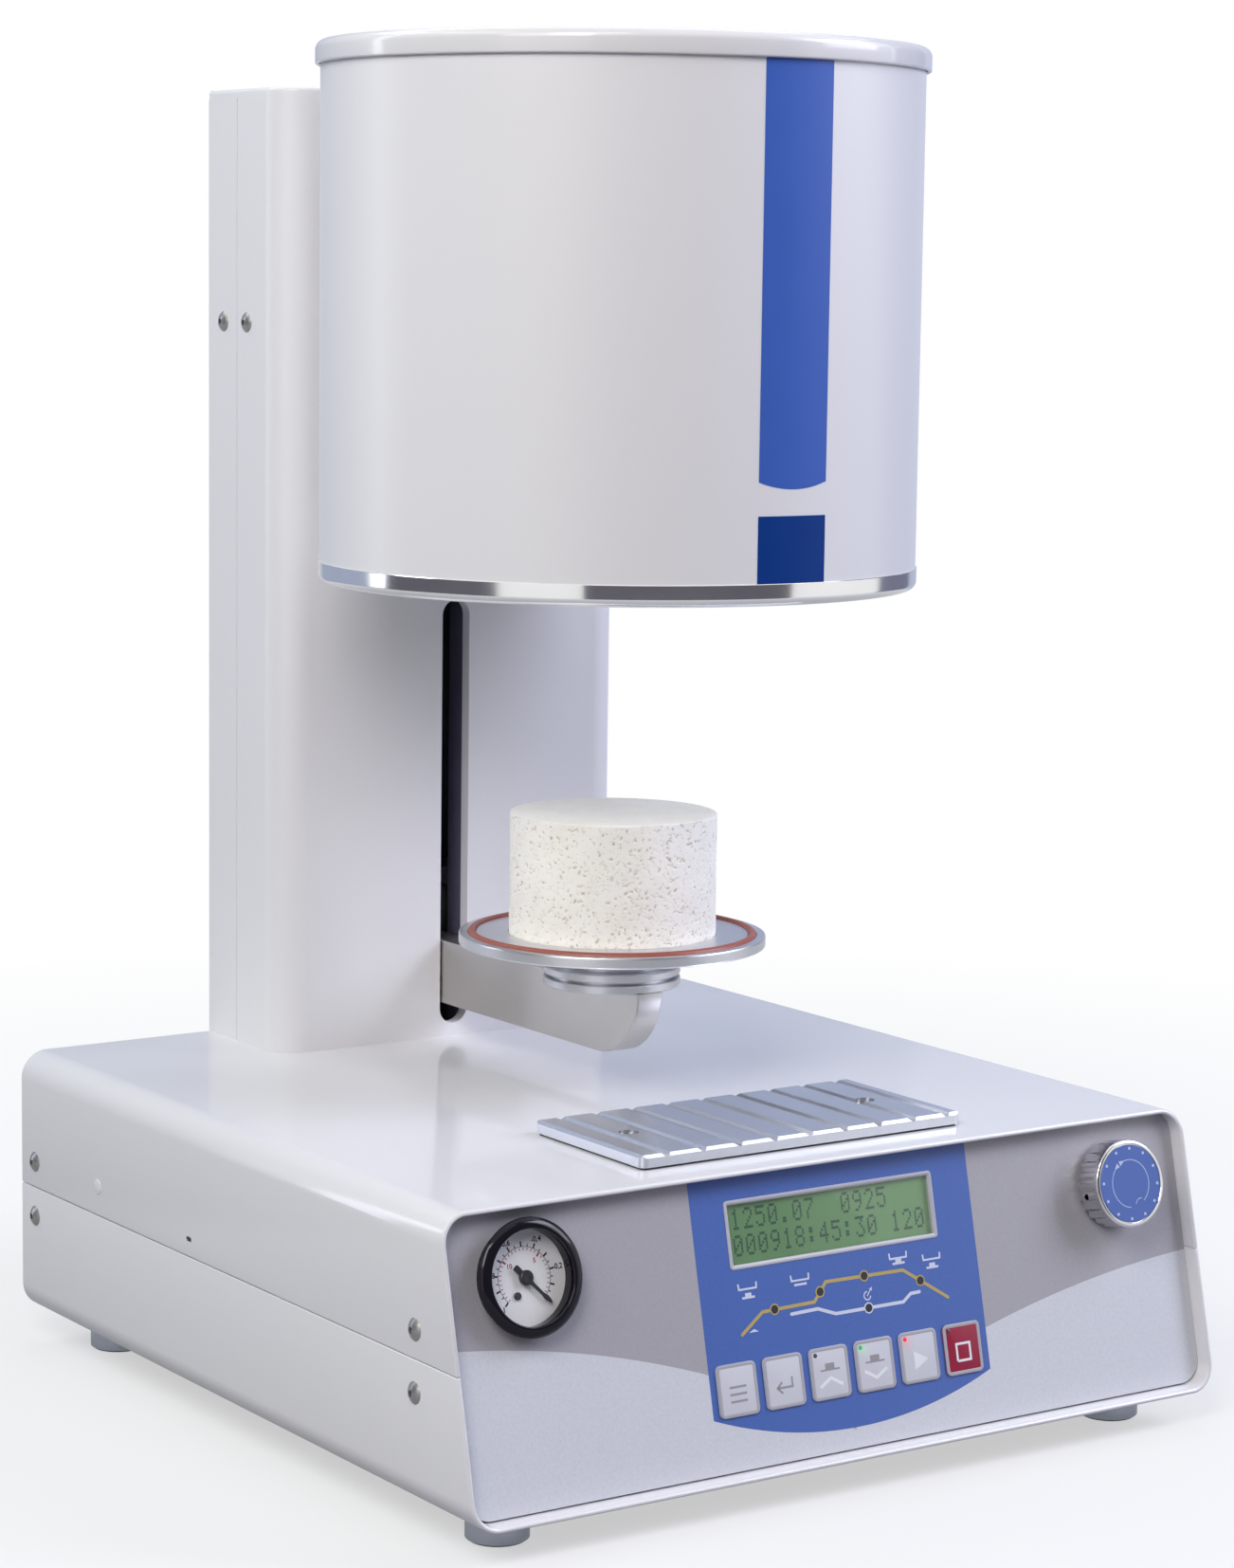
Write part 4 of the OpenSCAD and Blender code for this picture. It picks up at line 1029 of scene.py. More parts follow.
def frame_bar(outline, section):
    """A closed bar round an outline: section pairs (inset, height) joined round in both directions."""
    return tube([lifted(inset(outline, d), z) for d, z in section], closed=True)


def at_panel(shape, across=0.0, up=0.0, out=0.0):
    """Moves a shape from its own drawing onto the panel, at a place across, up and out of it."""
    return placed(shape, lambda p: onto_panel(p + [across, up, out]))


frame_edge, frame_r = 1.75, 1.6
frame_w, frame_h = half_w + frame_edge, half_h + frame_edge
outer_edge = rounded_box(-frame_w, -frame_h, frame_w, frame_h, frame_r)
frame_section = [(0, 0), (0, 0.12), (0.25, 0.34), (0.9, 0.4), (1.3, 0.3)]
frame_section += [(1.9, -0.35), (1.9, -0.5), (0.2, -0.02)]
frame_ink = grained("frame_grey", (0.50, 0.50, 0.55), 0.3, 0.38, 1800.0, 0.004, 0.03)
surround = frame_bar(outer_edge, frame_section)
put("display_frame", at_panel(surround, window_mid[0], window_mid[1], film_top), frame_ink)

pane_box = rounded_box(-half_w, -half_h, half_w, half_h, 0.3, 3)
pane = at_panel(soft_slab(pane_box, window_hi[2] - 0.6, window_hi[2], 0.1), window_mid[0], window_mid[1])
window_clear = thin_clear("window_clear", 1.38, (0.97, 0.99, 0.97), 0.05)
put("display_pane", pane, window_clear, stands_for=["display_window"])
print("window", np.round((window_hi - window_lo)[:2], 1), "mm")

# %% The green ground of the display
lcd_green = (0.14, 0.255, 0.122)
lcd, tree, shader = new_finish("lcd", lcd_green, 0.35, Coat_Weight=0.2, Coat_Roughness=0.2)
across, up = panel_place(tree)
# the green is 0.94 times as light at the left end of the window and 1.12 times at the right
glow = mapped(tree, across, -half_w, half_w, 0.94, 1.12)
cloud = mapped(tree, noise(tree, place_in(tree), 30.0, 2.0), 0.3, 0.7, 0.95, 1.05)
factor = reckon(tree, "MULTIPLY", glow, cloud)
fill(tree, shader.inputs["Base Color"], scaled_by(tree, lcd_green, factor))
lit_green, backlight = (0.50, 0.95, 0.47, 1.0), 0.035
fill(tree, shader.inputs["Emission Color"], lit_green)
fill(tree, shader.inputs["Emission Strength"], backlight)
dress(lcd, "lcd_module")
lcd_face = panel_box_of("lcd_module")[1][2]
print("display face at", round(lcd_face, 2))

# %% Characters of five by seven dots
dots = {
    "0": "01110 10001 10011 10101 11001 10001 01110", "1": "00100 01100 00100 00100 00100 00100 01110",
    "2": "01110 10001 00001 00010 00100 01000 11111", "3": "11111 00010 00100 00010 00001 10001 01110",
    "4": "00010 00110 01010 10010 11111 00010 00010", "5": "11111 10000 11110 00001 00001 10001 01110",
    "6": "00110 01000 10000 11110 10001 10001 01110", "7": "11111 00001 00010 00100 01000 01000 01000",
    "8": "01110 10001 10001 01110 10001 10001 01110", "9": "01110 10001 10001 01111 00001 00010 01100",
    ":": "00000 01100 01100 00000 01100 01100 00000", ".": "00000 00000 00000 00000 00000 01100 01100",
}
shown = ("1250.07  0925   ", "000918:45:30 120")
cell_pitch, cell_x0, row_tops = 6.04, -47.7, (105.3, 94.9)
dot_w, dot_h, gap_x, gap_y = 0.80, 1.06, 0.88, 1.20


def dark_dots(line, top):
    """Centres of the dark cells of one line: the whole line is one grid of ones and noughts."""
    empty = "00000 " * 6 + "00000"
    blocks = [np.array([list(row) for row in dots.get(c, empty).split()]) == "1" for c in line]
    row, col = np.nonzero(np.concatenate([np.pad(b, ((0, 0), (0, 1))) for b in blocks], axis=1))
    cell, inner = col // 6, col % 6
    return np.stack([cell_x0 + cell * cell_pitch + (inner + 0.5) * gap_x, top - (row + 0.5) * gap_y], axis=-1)


spots = np.concatenate([dark_dots(line, top) for line, top in zip(shown, row_tops)])
dot_box = [(-dot_w / 2, -dot_h / 2), (dot_w / 2, -dot_h / 2), (dot_w / 2, dot_h / 2), (-dot_w / 2, dot_h / 2)]
dot_ink = grained("lcd_dots", (0.045, 0.10, 0.075), 0.4, 0.5, 1500.0, 0.003)
put("display_digits", at_panel(prisms(dot_box, spots, lcd_face - 0.02, lcd_face + 0.05)), dot_ink)
print("dark dots:", len(spots))

# %% [markdown]
# ## The printed diagram
#
# Below the display a gold line shows how the temperature runs through a firing, with a lamp dot
# at each stage, and a white line shows the vacuum. Small signs show the muffle open or shut over
# its plug. Each is a bar or ribbon of ink with a little height. The bends are mitred and the ends
# round, so a line keeps its width everywhere.

# %% Inks and the two lines
ink_low, ink_high = film_top - 0.03, film_top + 0.05


def new_ink(name, colour, low=0.35, high=0.45, drift=0.04):
    """Printing ink: a very fine grain and an even tone."""
    return grained(name, colour, low, high, 1800.0, 0.004, drift)


gold_ink = new_ink("ink_gold", (0.50, 0.38, 0.12), drift=0.05)
white_ink = new_ink("ink_white", (0.66, 0.70, 0.82))
dark_ink = new_ink("ink_dark", (0.018, 0.018, 0.028), 0.3, 0.42, 0.05)
grey_ink = new_ink("ink_grey", (0.33, 0.32, 0.34))

gold_line = [(-49.9, 56.4), (-39, 63.9), (-13.4, 64.3), (-6.8, 71.4), (32.2, 70.9), (53.5, 57.1)]
white_line = [(-25.2, 61.1), (-12.1, 61.4), (-3.6, 58.3), (30.7, 58.3), (34.8, 61.1), (39.3, 61.2)]
gold_stops = [(-33.1, 64.1), (-10.1, 67.9), (12.5, 71.2), (40.4, 65.6)]
white_stop = [(13.0, 58.3)]
line_w, ring_r, lamp_r = 1.35, 2.25, 1.7


def printed(name, shapes, finish):
    """Puts flat shapes, drawn in panel millimetres, on the film as one piece of ink."""
    return put(name, at_panel(joined(shapes)), finish)


gold = [stroke(gold_line, line_w, ink_low, ink_high)]
gold.append(prisms(circle_outline(ring_r, 28), gold_stops, ink_low, ink_high + 0.03))
printed("firing_line", gold, gold_ink)
vacuum = [stroke(white_line, line_w, ink_low, ink_high)]
vacuum.append(prisms(circle_outline(ring_r, 28), white_stop, ink_low, ink_high + 0.03))
lamp_dots = prisms(circle_outline(lamp_r, 24), gold_stops + white_stop, ink_low, ink_high + 0.08)
printed("stage_lamps", [lamp_dots], dark_ink)
print("gold line through", len(gold_line), "points, with", len(gold_stops), "lamps")

# %% Signs: a muffle as an open box upside down, and a plug as a bar with a block on it
muffle_w, muffle_h, muffle_t = 8.8, 2.3, 0.75
muffle_places = [(-44.9, 73.8, 3.4, True), (-19.2, 73.8, 1.7, False)]
muffle_places += [(30.5, 76.0, 2.1, True), (47.4, 73.4, 3.3, True)]
timer_mid, timer_r = (13.0, 63.2), 1.65
run_mark = [(-46.5, 56.7), (-41.7, 56.7), (-44.1, 57.9)]


def muffle_sign(middle, base, drop, with_plug):
    """The cup of a muffle, and its plug lower by drop: a bar, and a block where it carries work."""
    x0, x1 = middle - muffle_w / 2, middle + muffle_w / 2
    cup = [(x0, base + muffle_h), (x0 + 0.2, base), (x1 - 0.2, base), (x1, base + muffle_h)]
    bar = rounded_box(middle - 3.1, base - drop - 0.45, middle + 3.1, base - drop + 0.45, 0.2, 3)
    block = rounded_box(middle - 1.5, base - drop + 0.4, middle + 1.5, base - drop + 1.8, 0.2, 3)
    shapes = [stroke(cup, muffle_t, ink_low, ink_high, blunt=True), slab(bar, [(0, ink_low), (0, ink_high)])]
    return shapes + [slab(block, [(0, ink_low), (0, ink_high)])] * with_plug


signs = [shape for place in muffle_places for shape in muffle_sign(*place)]
signs.append(stroke(arc(timer_mid, timer_r, 95, 345, 20), 0.5, ink_low, ink_high))
hand = np.array(timer_mid) + [(0, 0), (1.9, 2.3)]
signs.append(stroke(hand, 0.45, ink_low, ink_high))
signs.append(prisms([(-0.7, 0.3), (0.5, -0.7), (0.9, 0.9)], hand[1:], ink_low, ink_high))
signs.append(slab(np.array(run_mark), [(0, ink_low), (0, ink_high)]))
printed("panel_signs", signs + vacuum, white_ink)
print("signs:", len(signs))

# %% [markdown]
# ## The keys
#
# Six flat keys stand a little proud of the film: a pale field with a raised grey rim, and a small
# lamp in the corner of some. Each key rides its own body, because it can be pressed. The glow that a
# lit lamp throws on the skin around it is painted light: a soft spot of the lamp's colour, painted
# into the key's own finish. The keys carry signs and no words.

# %% Key shapes
key_boxes = [panel_box_of(f"key_{i}") for i in range(1, 7)]
lip = 1.0
key_top = key_boxes[0][1][2]
key_r, rim_w, rim_up, lip_below = 2.2, 1.45, 0.09, 2.3
cap_face = panel_box_of("front_panel")[1][2] - lip_below


def key_cap(lo, hi):
    """The cap with soft edges, and the lip under the film that keeps it in."""
    cap = rounded_box(lo[0] + lip, lo[1] + lip, hi[0] - lip, hi[1] - lip, key_r)
    under = rounded_box(lo[0], lo[1], hi[0], hi[1], 1.0, 3)
    shapes = [soft_slab(cap, cap_face - 0.6, hi[2], 0.22), slab(under, [(0, cap_face - 1.0), (0, cap_face)])]
    return joined(shapes), cap


rim_section = [(-0.02, -0.3), (-0.02, 0.0), (0.2, rim_up)]
rim_section += [(rim_w - 0.3, rim_up), (rim_w, 0.0), (rim_w, -0.3)]


def key_finish(name, colour, glow=None, spot=None, reach=2.6):
    """Key skin: satin film, with a lit lamp's glow painted round it, by exp(-(distance / reach) squared)."""
    material, tree, shader = new_finish(name, colour, 0.36, Coat_Weight=0.2, Coat_Roughness=0.3)
    across, up = panel_place(tree)
    patch = noise(tree, place_in(tree), 70.0, 2.0)
    skin = blended(tree, patch, tinted(colour, 0.97), tinted(colour, 1.03))
    # painted light: the glow of a lit lamp, painted into the skin's colour round the lamp
    if glow:
        dx, dy = reckon(tree, "SUBTRACT", across, spot[0] + 0.8), reckon(tree, "SUBTRACT", up, spot[1] - 0.8)
        square = reckon(tree, "MULTIPLY_ADD", dx, dx, reckon(tree, "MULTIPLY", dy, dy))
        near = reckon(tree, "EXPONENT", reckon(tree, "MULTIPLY", square, -1 / reach**2))
        skin = blended(tree, reckon(tree, "MULTIPLY", near, 0.62), skin, (*glow, 1))
    fill(tree, shader.inputs["Base Color"], skin)
    raise_by(tree, shader, noise(tree, place_in(tree), 1500.0, 1.0), 0.008, 0.5, coat=True)
    return material


print("keys:", len(key_boxes), "top at", round(key_top, 2))

# %% Key lamps and key signs
lamp_in, lamp_down, lamp_size = 2.95, 2.7, 0.95
key_pale, key_red = (0.66, 0.67, 0.73), (0.31, 0.0, 0.035)
lamp_state = {3: "off", 4: "green", 5: "red", 6: "off"}
# colours of the glow that is painted round each lit lamp
painted_glow_of = {"green": (0.60, 0.86, 0.66), "red": (0.92, 0.50, 0.50)}
rim_ink = grained("key_rim", (0.43, 0.42, 0.46), 0.34, 0.42, 1500.0, 0.006, 0.04)
faint_ink = new_ink("ink_faint", (0.86, 0.86, 0.90))
lamp_off = grained("lamp_off", (0.05, 0.05, 0.06), 0.2, 0.3, 1500.0, 0.003, 0.05, Coat_Weight=0.5)
lamp_lit = {
    "green": grained("lamp_green", (0.02, 0.30, 0.06), 0.2, 0.3, 900.0, 0.003, 0.2, Emission_Strength=0.4),
    "red": grained("lamp_red", (0.75, 0.02, 0.04), 0.2, 0.3, 900.0, 0.003, 0.2, Emission_Strength=0.4),
}
for state, tint in (("green", (0.05, 0.55, 0.15)), ("red", (0.9, 0.04, 0.08))):
    lamp_lit[state].node_tree.nodes["Principled BSDF"].inputs["Emission Color"].default_value = (*tint, 1)


def key_sign(number, mid):
    """The sign of one key: lines with their widths, filled outlines, and the ink of each kind."""
    x, y = mid
    if number == 1:
        lines = [[(x - 4, y + d), (x + 4, y + d)] for d in (1.2, -1.6, -4.4)]
        return [(line, 0.9) for line in lines], [], grey_ink, grey_ink
    if number == 2:
        hook = [(x + 3.6, y + 1.4), (x + 3.6, y - 2.4), (x - 3.6, y - 2.4)]
        head = [(x - 1.4, y - 0.2), (x - 3.8, y - 2.4), (x - 1.4, y - 4.6)]
        return [(hook, 0.9), (head, 0.9)], [], grey_ink, grey_ink
    if number in (3, 4):
        flip = 1.6 if number == 3 else -1.6
        chevron = [(x - 5.6, y - 3.6 - flip), (x, y - 3.6 + flip), (x + 5.6, y - 3.6 - flip)]
        bar = rounded_box(x - 4.8, y + 0.9, x + 4.8, y + 1.6, 0.2, 3)
        block = rounded_box(x - 2.3, y + 1.5, x + 2.3, y + 3.9, 0.3, 3)
        return [(chevron, 1.3)], [bar, block], grey_ink, faint_ink
    if number == 5:
        arrow = np.array([(x - 2.8, y - 5.2), (x + 4.2, y - 1.4), (x - 2.8, y + 2.4)])
        return [], [arrow], faint_ink, faint_ink
    square = [(x + 3.4 * a, y - 1.4 + 3.4 * b) for a, b in ((-1, -1), (1, -1), (1, 1), (-1, 1), (-1, -1))]
    return [(square, 1.0)], [], faint_ink, faint_ink


print("lamps:", lamp_state)

# %% Make the six keys
def make_key(number, lo, hi):
    """One key with its rim, lamp and sign, all riding on the key's body."""
    body, slot = f"key_{number}_body", "key_red" if number == 6 else "key_grey"
    state = lamp_state.get(number)
    spot = (lo[0] + lip + lamp_in, hi[1] - lip - lamp_down)
    colour = key_red if number == 6 else key_pale
    skin = key_finish(f"key_skin_{number}", colour, painted_glow_of.get(state), spot)
    shape, edge = key_cap(lo, hi)
    put(f"key_cap_{number}", at_panel(shape), skin, body, [f"key_{number}"])
    put(f"key_rim_{number}", at_panel(frame_bar(edge, rim_section), 0, 0, key_top), rim_ink, body)
    if state:
        dome = [(lamp_size, 0.02), (lamp_size * 0.7, 0.1), (0, 0.13)]
        button = lathe([(0, -0.2), (lamp_size, -0.2), *dome], 28, False)
        lens = lamp_lit.get(state, lamp_off)
        put(f"key_lamp_{number}", at_panel(button, *spot, key_top), lens, body)
    lines, fields, field_ink, line_ink = key_sign(number, (lo[:2] + hi[:2]) / 2)
    bars = [stroke(line, width, -0.03, 0.04, blunt=True) for line, width in lines]
    blocks = [slab(field, [(0, -0.03), (0, 0.04)]) for field in fields]
    for part, shapes, ink in (("line", bars, line_ink), ("block", blocks, field_ink)):
        if shapes:
            put(f"key_{part}_{number}", at_panel(joined(shapes), 0, 0, key_top), ink, body)


def opening_edge(lo, hi):
    """The film's rounded edge round a key: from the square cut in the film in to the round cap."""
    x0, y0, x1, y1 = *(lo[:2] + lip), *(hi[:2] - lip)
    near = rounded_box(x0 - 0.04, y0 - 0.04, x1 + 0.04, y1 + 0.04, key_r)
    far = rounded_box(x0 - 0.6, y0 - 0.6, x1 + 0.6, y1 + 0.6, 0.3)
    rows = [(near, -0.3), (near, 0.05), (far, 0.05), (far, -0.3)]
    return tube([lifted(line, z) for line, z in rows], closed=True)


for number, (lo, hi) in enumerate(key_boxes, 1):
    make_key(number, lo, hi)
edges = joined([opening_edge(lo, hi) for lo, hi in key_boxes])
put("film_openings", at_panel(edges, 0, 0, film_top), film)
print("key top at", round(key_top, 2), "mm out")

# %% [markdown]
# ## The vacuum gauge
#
# A gauge is a black case with a white dial, a needle, a flat glass and a glossy turned bezel. The
# dial is printed with two scales about the same centre: black marks that stand outside the scale
# circle, and red marks inside it. A mark is one small bar, turned to its own angle, so both scales
# are a row of angles and one formula.

# %% The dial's print
dial_face, scale_r = 1.2, 11.7
mark_low, mark_high = dial_face - 0.04, dial_face + 0.03
dial_start, dial_span, psi_span = -45.0, 270.0, 14.5
gauge_at = (gauge_mid[0], gauge_mid[1], film_top)


def marks(values, r0, r1, width):
    """Bars from radius r0 to r1. A value v stands at the angle start + span v."""
    t = np.radians(dial_start + dial_span * np.asarray(values))[:, None]
    ray, side = np.stack([np.cos(t), np.sin(t)], -1), np.stack([-np.sin(t), np.cos(t)], -1)
    r, s = np.array([r0, r1, r1, r0]), np.array([-1, -1, 1, 1]) * width / 2
    flat = ray * r[None, :, None] + side * s[None, :, None]
    return prisms_of(flat, mark_low, mark_high)


def figures(text, size, mid, z0, z1):
    """Numbers as a solid: the outlines of Blender's own figures, extruded, around a middle point."""
    curve = bpy.data.curves.new("figures", "FONT")
    curve.body, curve.size, curve.extrude, curve.offset = text, size, (z1 - z0) / 2, size * 0.025
    curve.align_x, curve.align_y, curve.resolution_u = "CENTER", "CENTER", 4
    holder = bpy.data.objects.new("figures", curve)
    mesh = bpy.data.meshes.new_from_object(holder)
    mesh.calc_loop_triangles()
    points, faces = np.empty(len(mesh.vertices) * 3), np.empty(len(mesh.loop_triangles) * 3, int)
    mesh.vertices.foreach_get("co", points)
    mesh.loop_triangles.foreach_get("vertices", faces)
    bpy.data.objects.remove(holder)
    bpy.data.meshes.remove(mesh)
    middle = np.array([*mid, (z0 + z1) / 2])
    return facing_out(*welded(points.reshape(-1, 3) + middle, [faces.reshape(-1, 3)]))


def on_dial(radius, angle):
    """A point of the dial at a radius and an angle in degrees."""
    return radius * np.array([math.cos(math.radians(angle)), math.sin(math.radians(angle))])


print("dial centre", np.round(gauge_at, 1))

# %% Put the two scales on
tenths, twentieths = np.arange(0, 1.01, 0.1), np.arange(0.05, 1, 0.1)
black_scale = [marks(tenths, scale_r, 13.7, 0.72), marks(twentieths, scale_r, 12.8, 0.44)]
sweep = arc((0, 0), scale_r, dial_start, dial_start + dial_span, 90)
black_scale.append(stroke(sweep, 0.22, mark_low, mark_high, blunt=True))
for value in (0.2, 0.4, 0.6, 0.8, 1):
    spot = on_dial(15.4, dial_start + dial_span * value)
    figure = f"-{value:g}".replace(".", ",")
    black_scale.append(figures(figure, 3.0, spot, mark_low, mark_high))
dial_red = grained("dial_red", (0.42, 0.06, 0.075), 0.4, 0.5, 1500.0, 0.003)
halves = np.arange(0, psi_span + 0.01, 0.5) / psi_span
red_scale = [marks(halves, 10.35, 11.35, 0.34), marks(np.array([5, 10]) / psi_span, 9.7, 11.4, 0.8)]
for value in (5, 10):
    spot = on_dial(7.9, dial_start + dial_span * value / psi_span)
    red_scale.append(figures(str(value), 2.6, spot, mark_low, mark_high))
put("dial_scale_black", at_panel(joined(black_scale), *gauge_at), dark_ink)
put("dial_scale_red", at_panel(joined(red_scale), *gauge_at), dial_red)
stop_pin = lathe([(0, 0.9), (1.5, 0.9), (1.5, 1.9), (1.2, 2.15), (0, 2.2)], 32, False)
stop_pin = moved(stop_pin, lambda p: p + [*on_dial(7.6, -122), 0])
put("dial_stop", at_panel(stop_pin, *gauge_at), black_plastic)
dial_white = grained("dial_white", (0.90, 0.89, 0.90), 0.35, 0.45, 900.0, 0.006, 0.03)
dress(dial_white, "gauge_dial")
print("black marks", len(tenths) + len(twentieths), "red marks", len(halves) + 2)

# %% The needle: it tapers towards its tip and rides on its own body
needle_angle, hub_r = -46.0, 2.9
tail_half = [(-6.4, 0.9), (-5.9, 1.25), (-3.0, 1.1), (0, 1.2)]
needle_side = tail_half + [(4.0, 0.75), (9.5, 0.58), (11.6, 0.95), (13.4, 0.8), (14.9, 0.15)]
tapered = np.array(needle_side + [(x, -y) for x, y in needle_side[::-1]])[::-1]
blade = slab(tapered, [(0, 2.3), (0, 2.75), (0.1, 2.9)])
pin_and_boss = [(0, -2.6), (0.8, -2.6), (0.8, 2.0), (hub_r, 2.0), (hub_r, 3.3)]
pin_and_boss += [(hub_r - 0.4, 3.7), (0.7, 3.8), (0, 3.6)]
hub = lathe(pin_and_boss, 48, False)


def swing(p):
    """Turns the needle about its pin to the angle that it shows."""
    c, s = on_dial(1, needle_angle)
    return np.stack([c * p[:, 0] - s * p[:, 1], s * p[:, 0] + c * p[:, 1], p[:, 2]], axis=-1)


needle = at_panel(moved(joined([blade, hub]), swing), *gauge_at)
needle_black = grained("needle_black", (0.018, 0.018, 0.024), 0.25, 0.35, 1300.0, 0.004)
put("needle", needle, needle_black, "needle", ["gauge_needle"])
print("needle points to", needle_angle, "degrees")

# %% Glass and bezel: a neck on the panel that swells into a broad, softly domed rim
bezel_r, bezel_top = half_across(gauge_lo, gauge_hi), gauge_hi[2] - film_top
rim_r, sight_r, neck_r = bezel_r + 0.4, bezel_r - 4.1, bezel_r - 2.2
fine_sides, bore_r = 224, 20.05


def run_of_arcs(start, arcs):
    """Arcs that run smoothly into each other. Each is (radius, from angle, to angle, count), and
    the next centre lies on the line through the last centre and the point where they meet."""
    centre, last, line = np.array(start, float), arcs[0][0], []
    for radius, low, high, count in arcs:
        centre = centre + (last - radius) * on_dial(1, low)
        line.append(arc(centre, radius, low, high, count))
        last = radius
    return np.concatenate(line)


crown = run_of_arcs((rim_r - 1.0, 0), [(1.0, -25, 42, 8), (4.7, 42, 92, 16), (0.6, 92, 180, 8)])
crown[:, 1] += bezel_top - 0.5 - crown[:, 1].max()
glass_seat = [(sight_r, 6.95), (bore_r, 6.95), (bore_r, 5.6), (sight_r, 5.6)]
neck = [(neck_r, 0.02), (neck_r, 2.6), (rim_r - 1.4, crown[0, 1] - 0.9)]
bezel = lathe([*neck, *crown, *glass_seat, (sight_r, 1.3), (bore_r, 1.25), (bore_r, 0.02)], fine_sides)
dim = {"Specular_IOR_Level": 0.25}
bezel_black = grained("bezel_black", (0.008, 0.007, 0.013), 0.07, 0.10, 700.0, 0.002, 0.05, **dim)
put("gauge_rim", at_panel(bezel, *gauge_at), bezel_black, stands_for=["gauge_bezel"])
dress(clear, "gauge_glass")
print("bezel", round(2 * bezel_r, 1), "mm across,", round(bezel_top, 1), "mm high")

# %% [markdown]
# ## The control knob
#
# The knob is turned and polished, with shallow flutes round its side, a smooth band at the front, a
# hole for its grub screw, and a blue disc set in its face. A lathe profile gives the knob, and the
# flutes take a little off its radius at even angles. The hole is drilled with a boolean. On the
# disc go twelve dots, two arcs, two arrow heads and a short bent line.

# %% The knob: a turned profile whose side is cut by shallow flutes
knob_at = (knob_mid[0], knob_mid[1], film_top)
knob_r, knob_foot = half_across(knob_lo, knob_hi) + 0.7, knob_lo[2] - film_top
knob_face = knob_hi[2] - film_top
flutes, flute_half, flute_deep, first_flute = 24, 5.2, 0.8, 4.0
disc_edge = knob_r - 2.05


def fluted(profile, count_in=9, count_out=4):
    """A lathe whose radius drops by deep (1 - (a / half)^2) inside each flute, a being the angle
    from the flute's middle. Profile rows are (r, z, share), and share says how much flute they get."""
    pitch = 360 / flutes
    cut = np.linspace(-flute_half, flute_half, count_in)
    land = np.linspace(flute_half, pitch - flute_half, count_out)[1:-1]
    offset = np.concatenate([cut, land])
    drop = flute_deep * np.clip(1 - (offset / flute_half) ** 2, 0, 1)
    t = np.radians((first_flute + pitch * np.arange(flutes)[:, None] + offset).ravel())[:, None]
    r, z, share = np.array(profile, float).T
    away = r - share * np.tile(drop, flutes)[:, None]
    points = np.stack([away * np.cos(t), away * np.sin(t), z + 0 * t], axis=-1).reshape(-1, 3)
    return facing_out(*welded(points, [grid_faces(len(t), len(r), True, False)]))


bore = [(0, 12.0, 0), (3.1, 12.0, 0), (3.1, 4.2, 0), (9, 4.2, 0), (9, knob_foot, 0)]
side = [(knob_r - 0.9, knob_foot, 1), (knob_r - 0.15, knob_foot + 0.5, 1), (knob_r, knob_foot + 1.0, 1)]
side += [(knob_r, knob_face - 3.3, 1), (knob_r, knob_face - 3.0, 0.7), (knob_r, knob_face - 2.4, 0)]
rim = [(knob_r - 0.9 + x, knob_face - 0.9 + y, 0) for x, y in arc((0, 0), 0.9, 0, 75, 8)]
seat = [(disc_edge + 0.5, knob_face, 0), (disc_edge + 0.35, knob_face - 0.2, 0)]
seat += [(disc_edge + 0.3, knob_face - 0.6, 0), (0, knob_face - 0.6, 0)]
turned = fluted(bore + side + rim + seat)
screw_hole = lathe([(0, 8.0), (1.25, 8.0), (1.25, 30.0), (0, 30.0)], 24, False)
hole_turn, hole_up = math.radians(191), 6.5


def across_knob(p):
    """Lays the drill over: its axis z points out of the knob's side."""
    c, s = math.cos(hole_turn), math.sin(hole_turn)
    return np.stack([p[:, 2] * c - p[:, 1] * s, p[:, 2] * s + p[:, 1] * c, hole_up + p[:, 0]], axis=-1)


turned = drilled(turned, placed(screw_hole, across_knob))
knob_axis = (onto_panel([*knob_mid[:2], 0]), out_slope)
knob_chrome = turned_metal("knob_chrome", (0.74, 0.74, 0.76), *knob_axis, 0.08, 0.12, 0.001, 0.05)
put("knob", at_panel(turned, *knob_at), knob_chrome, "knob", ["control_knob"], crease=22)
print("knob", round(2 * knob_r, 1), "mm across, with", flutes, "flutes")

# %% The blue disc in the knob's face and its print
inlay_blue = grained("inlay_blue", (0.065, 0.135, 0.43), 0.3, 0.4, 1700.0, 0.005, 0.04, Coat_Weight=0.2)
inlay_top = knob_face - 0.05
inlay_edge = [(disc_edge, inlay_top - 0.6), (disc_edge, inlay_top - 0.12), (disc_edge - 0.12, inlay_top)]
inlay = lathe([(0, inlay_top - 0.6), *inlay_edge, (0, inlay_top)], 120, False)
put("knob_disc", at_panel(inlay, *knob_at), inlay_blue, "knob", ["knob_inlay"])

dot_ring, turn_r, dot_turn, hair = 14.6, 9.9, -6.0, 0.34
print_low, print_high = -0.03, 0.04
turn_arcs = [(-51, 104), (139, 263)]
twelve = np.radians(np.arange(12) * 30.0 + dot_turn)
dot_spots = dot_ring * np.stack([np.cos(twelve), np.sin(twelve)], 1)
knob_print = [prisms(circle_outline(0.65, 14), dot_spots, print_low, print_high)]
for start, end in turn_arcs:
    bow = arc((0, 0), turn_r, start, end, 40)
    knob_print.append(stroke(bow, hair, print_low, print_high, blunt=True))
for angle, way in ((112, -1), (131, 1)):
    head = np.array([(1.7 * way, 0), (-1.2 * way, 1.1), (-1.2 * way, -1.1)])
    t = math.radians(angle + 90)
    spun = head @ np.array([[math.cos(t), math.sin(t)], [-math.sin(t), math.cos(t)]])
    knob_print.append(prisms(spun, [on_dial(turn_r, angle)], print_low, print_high))
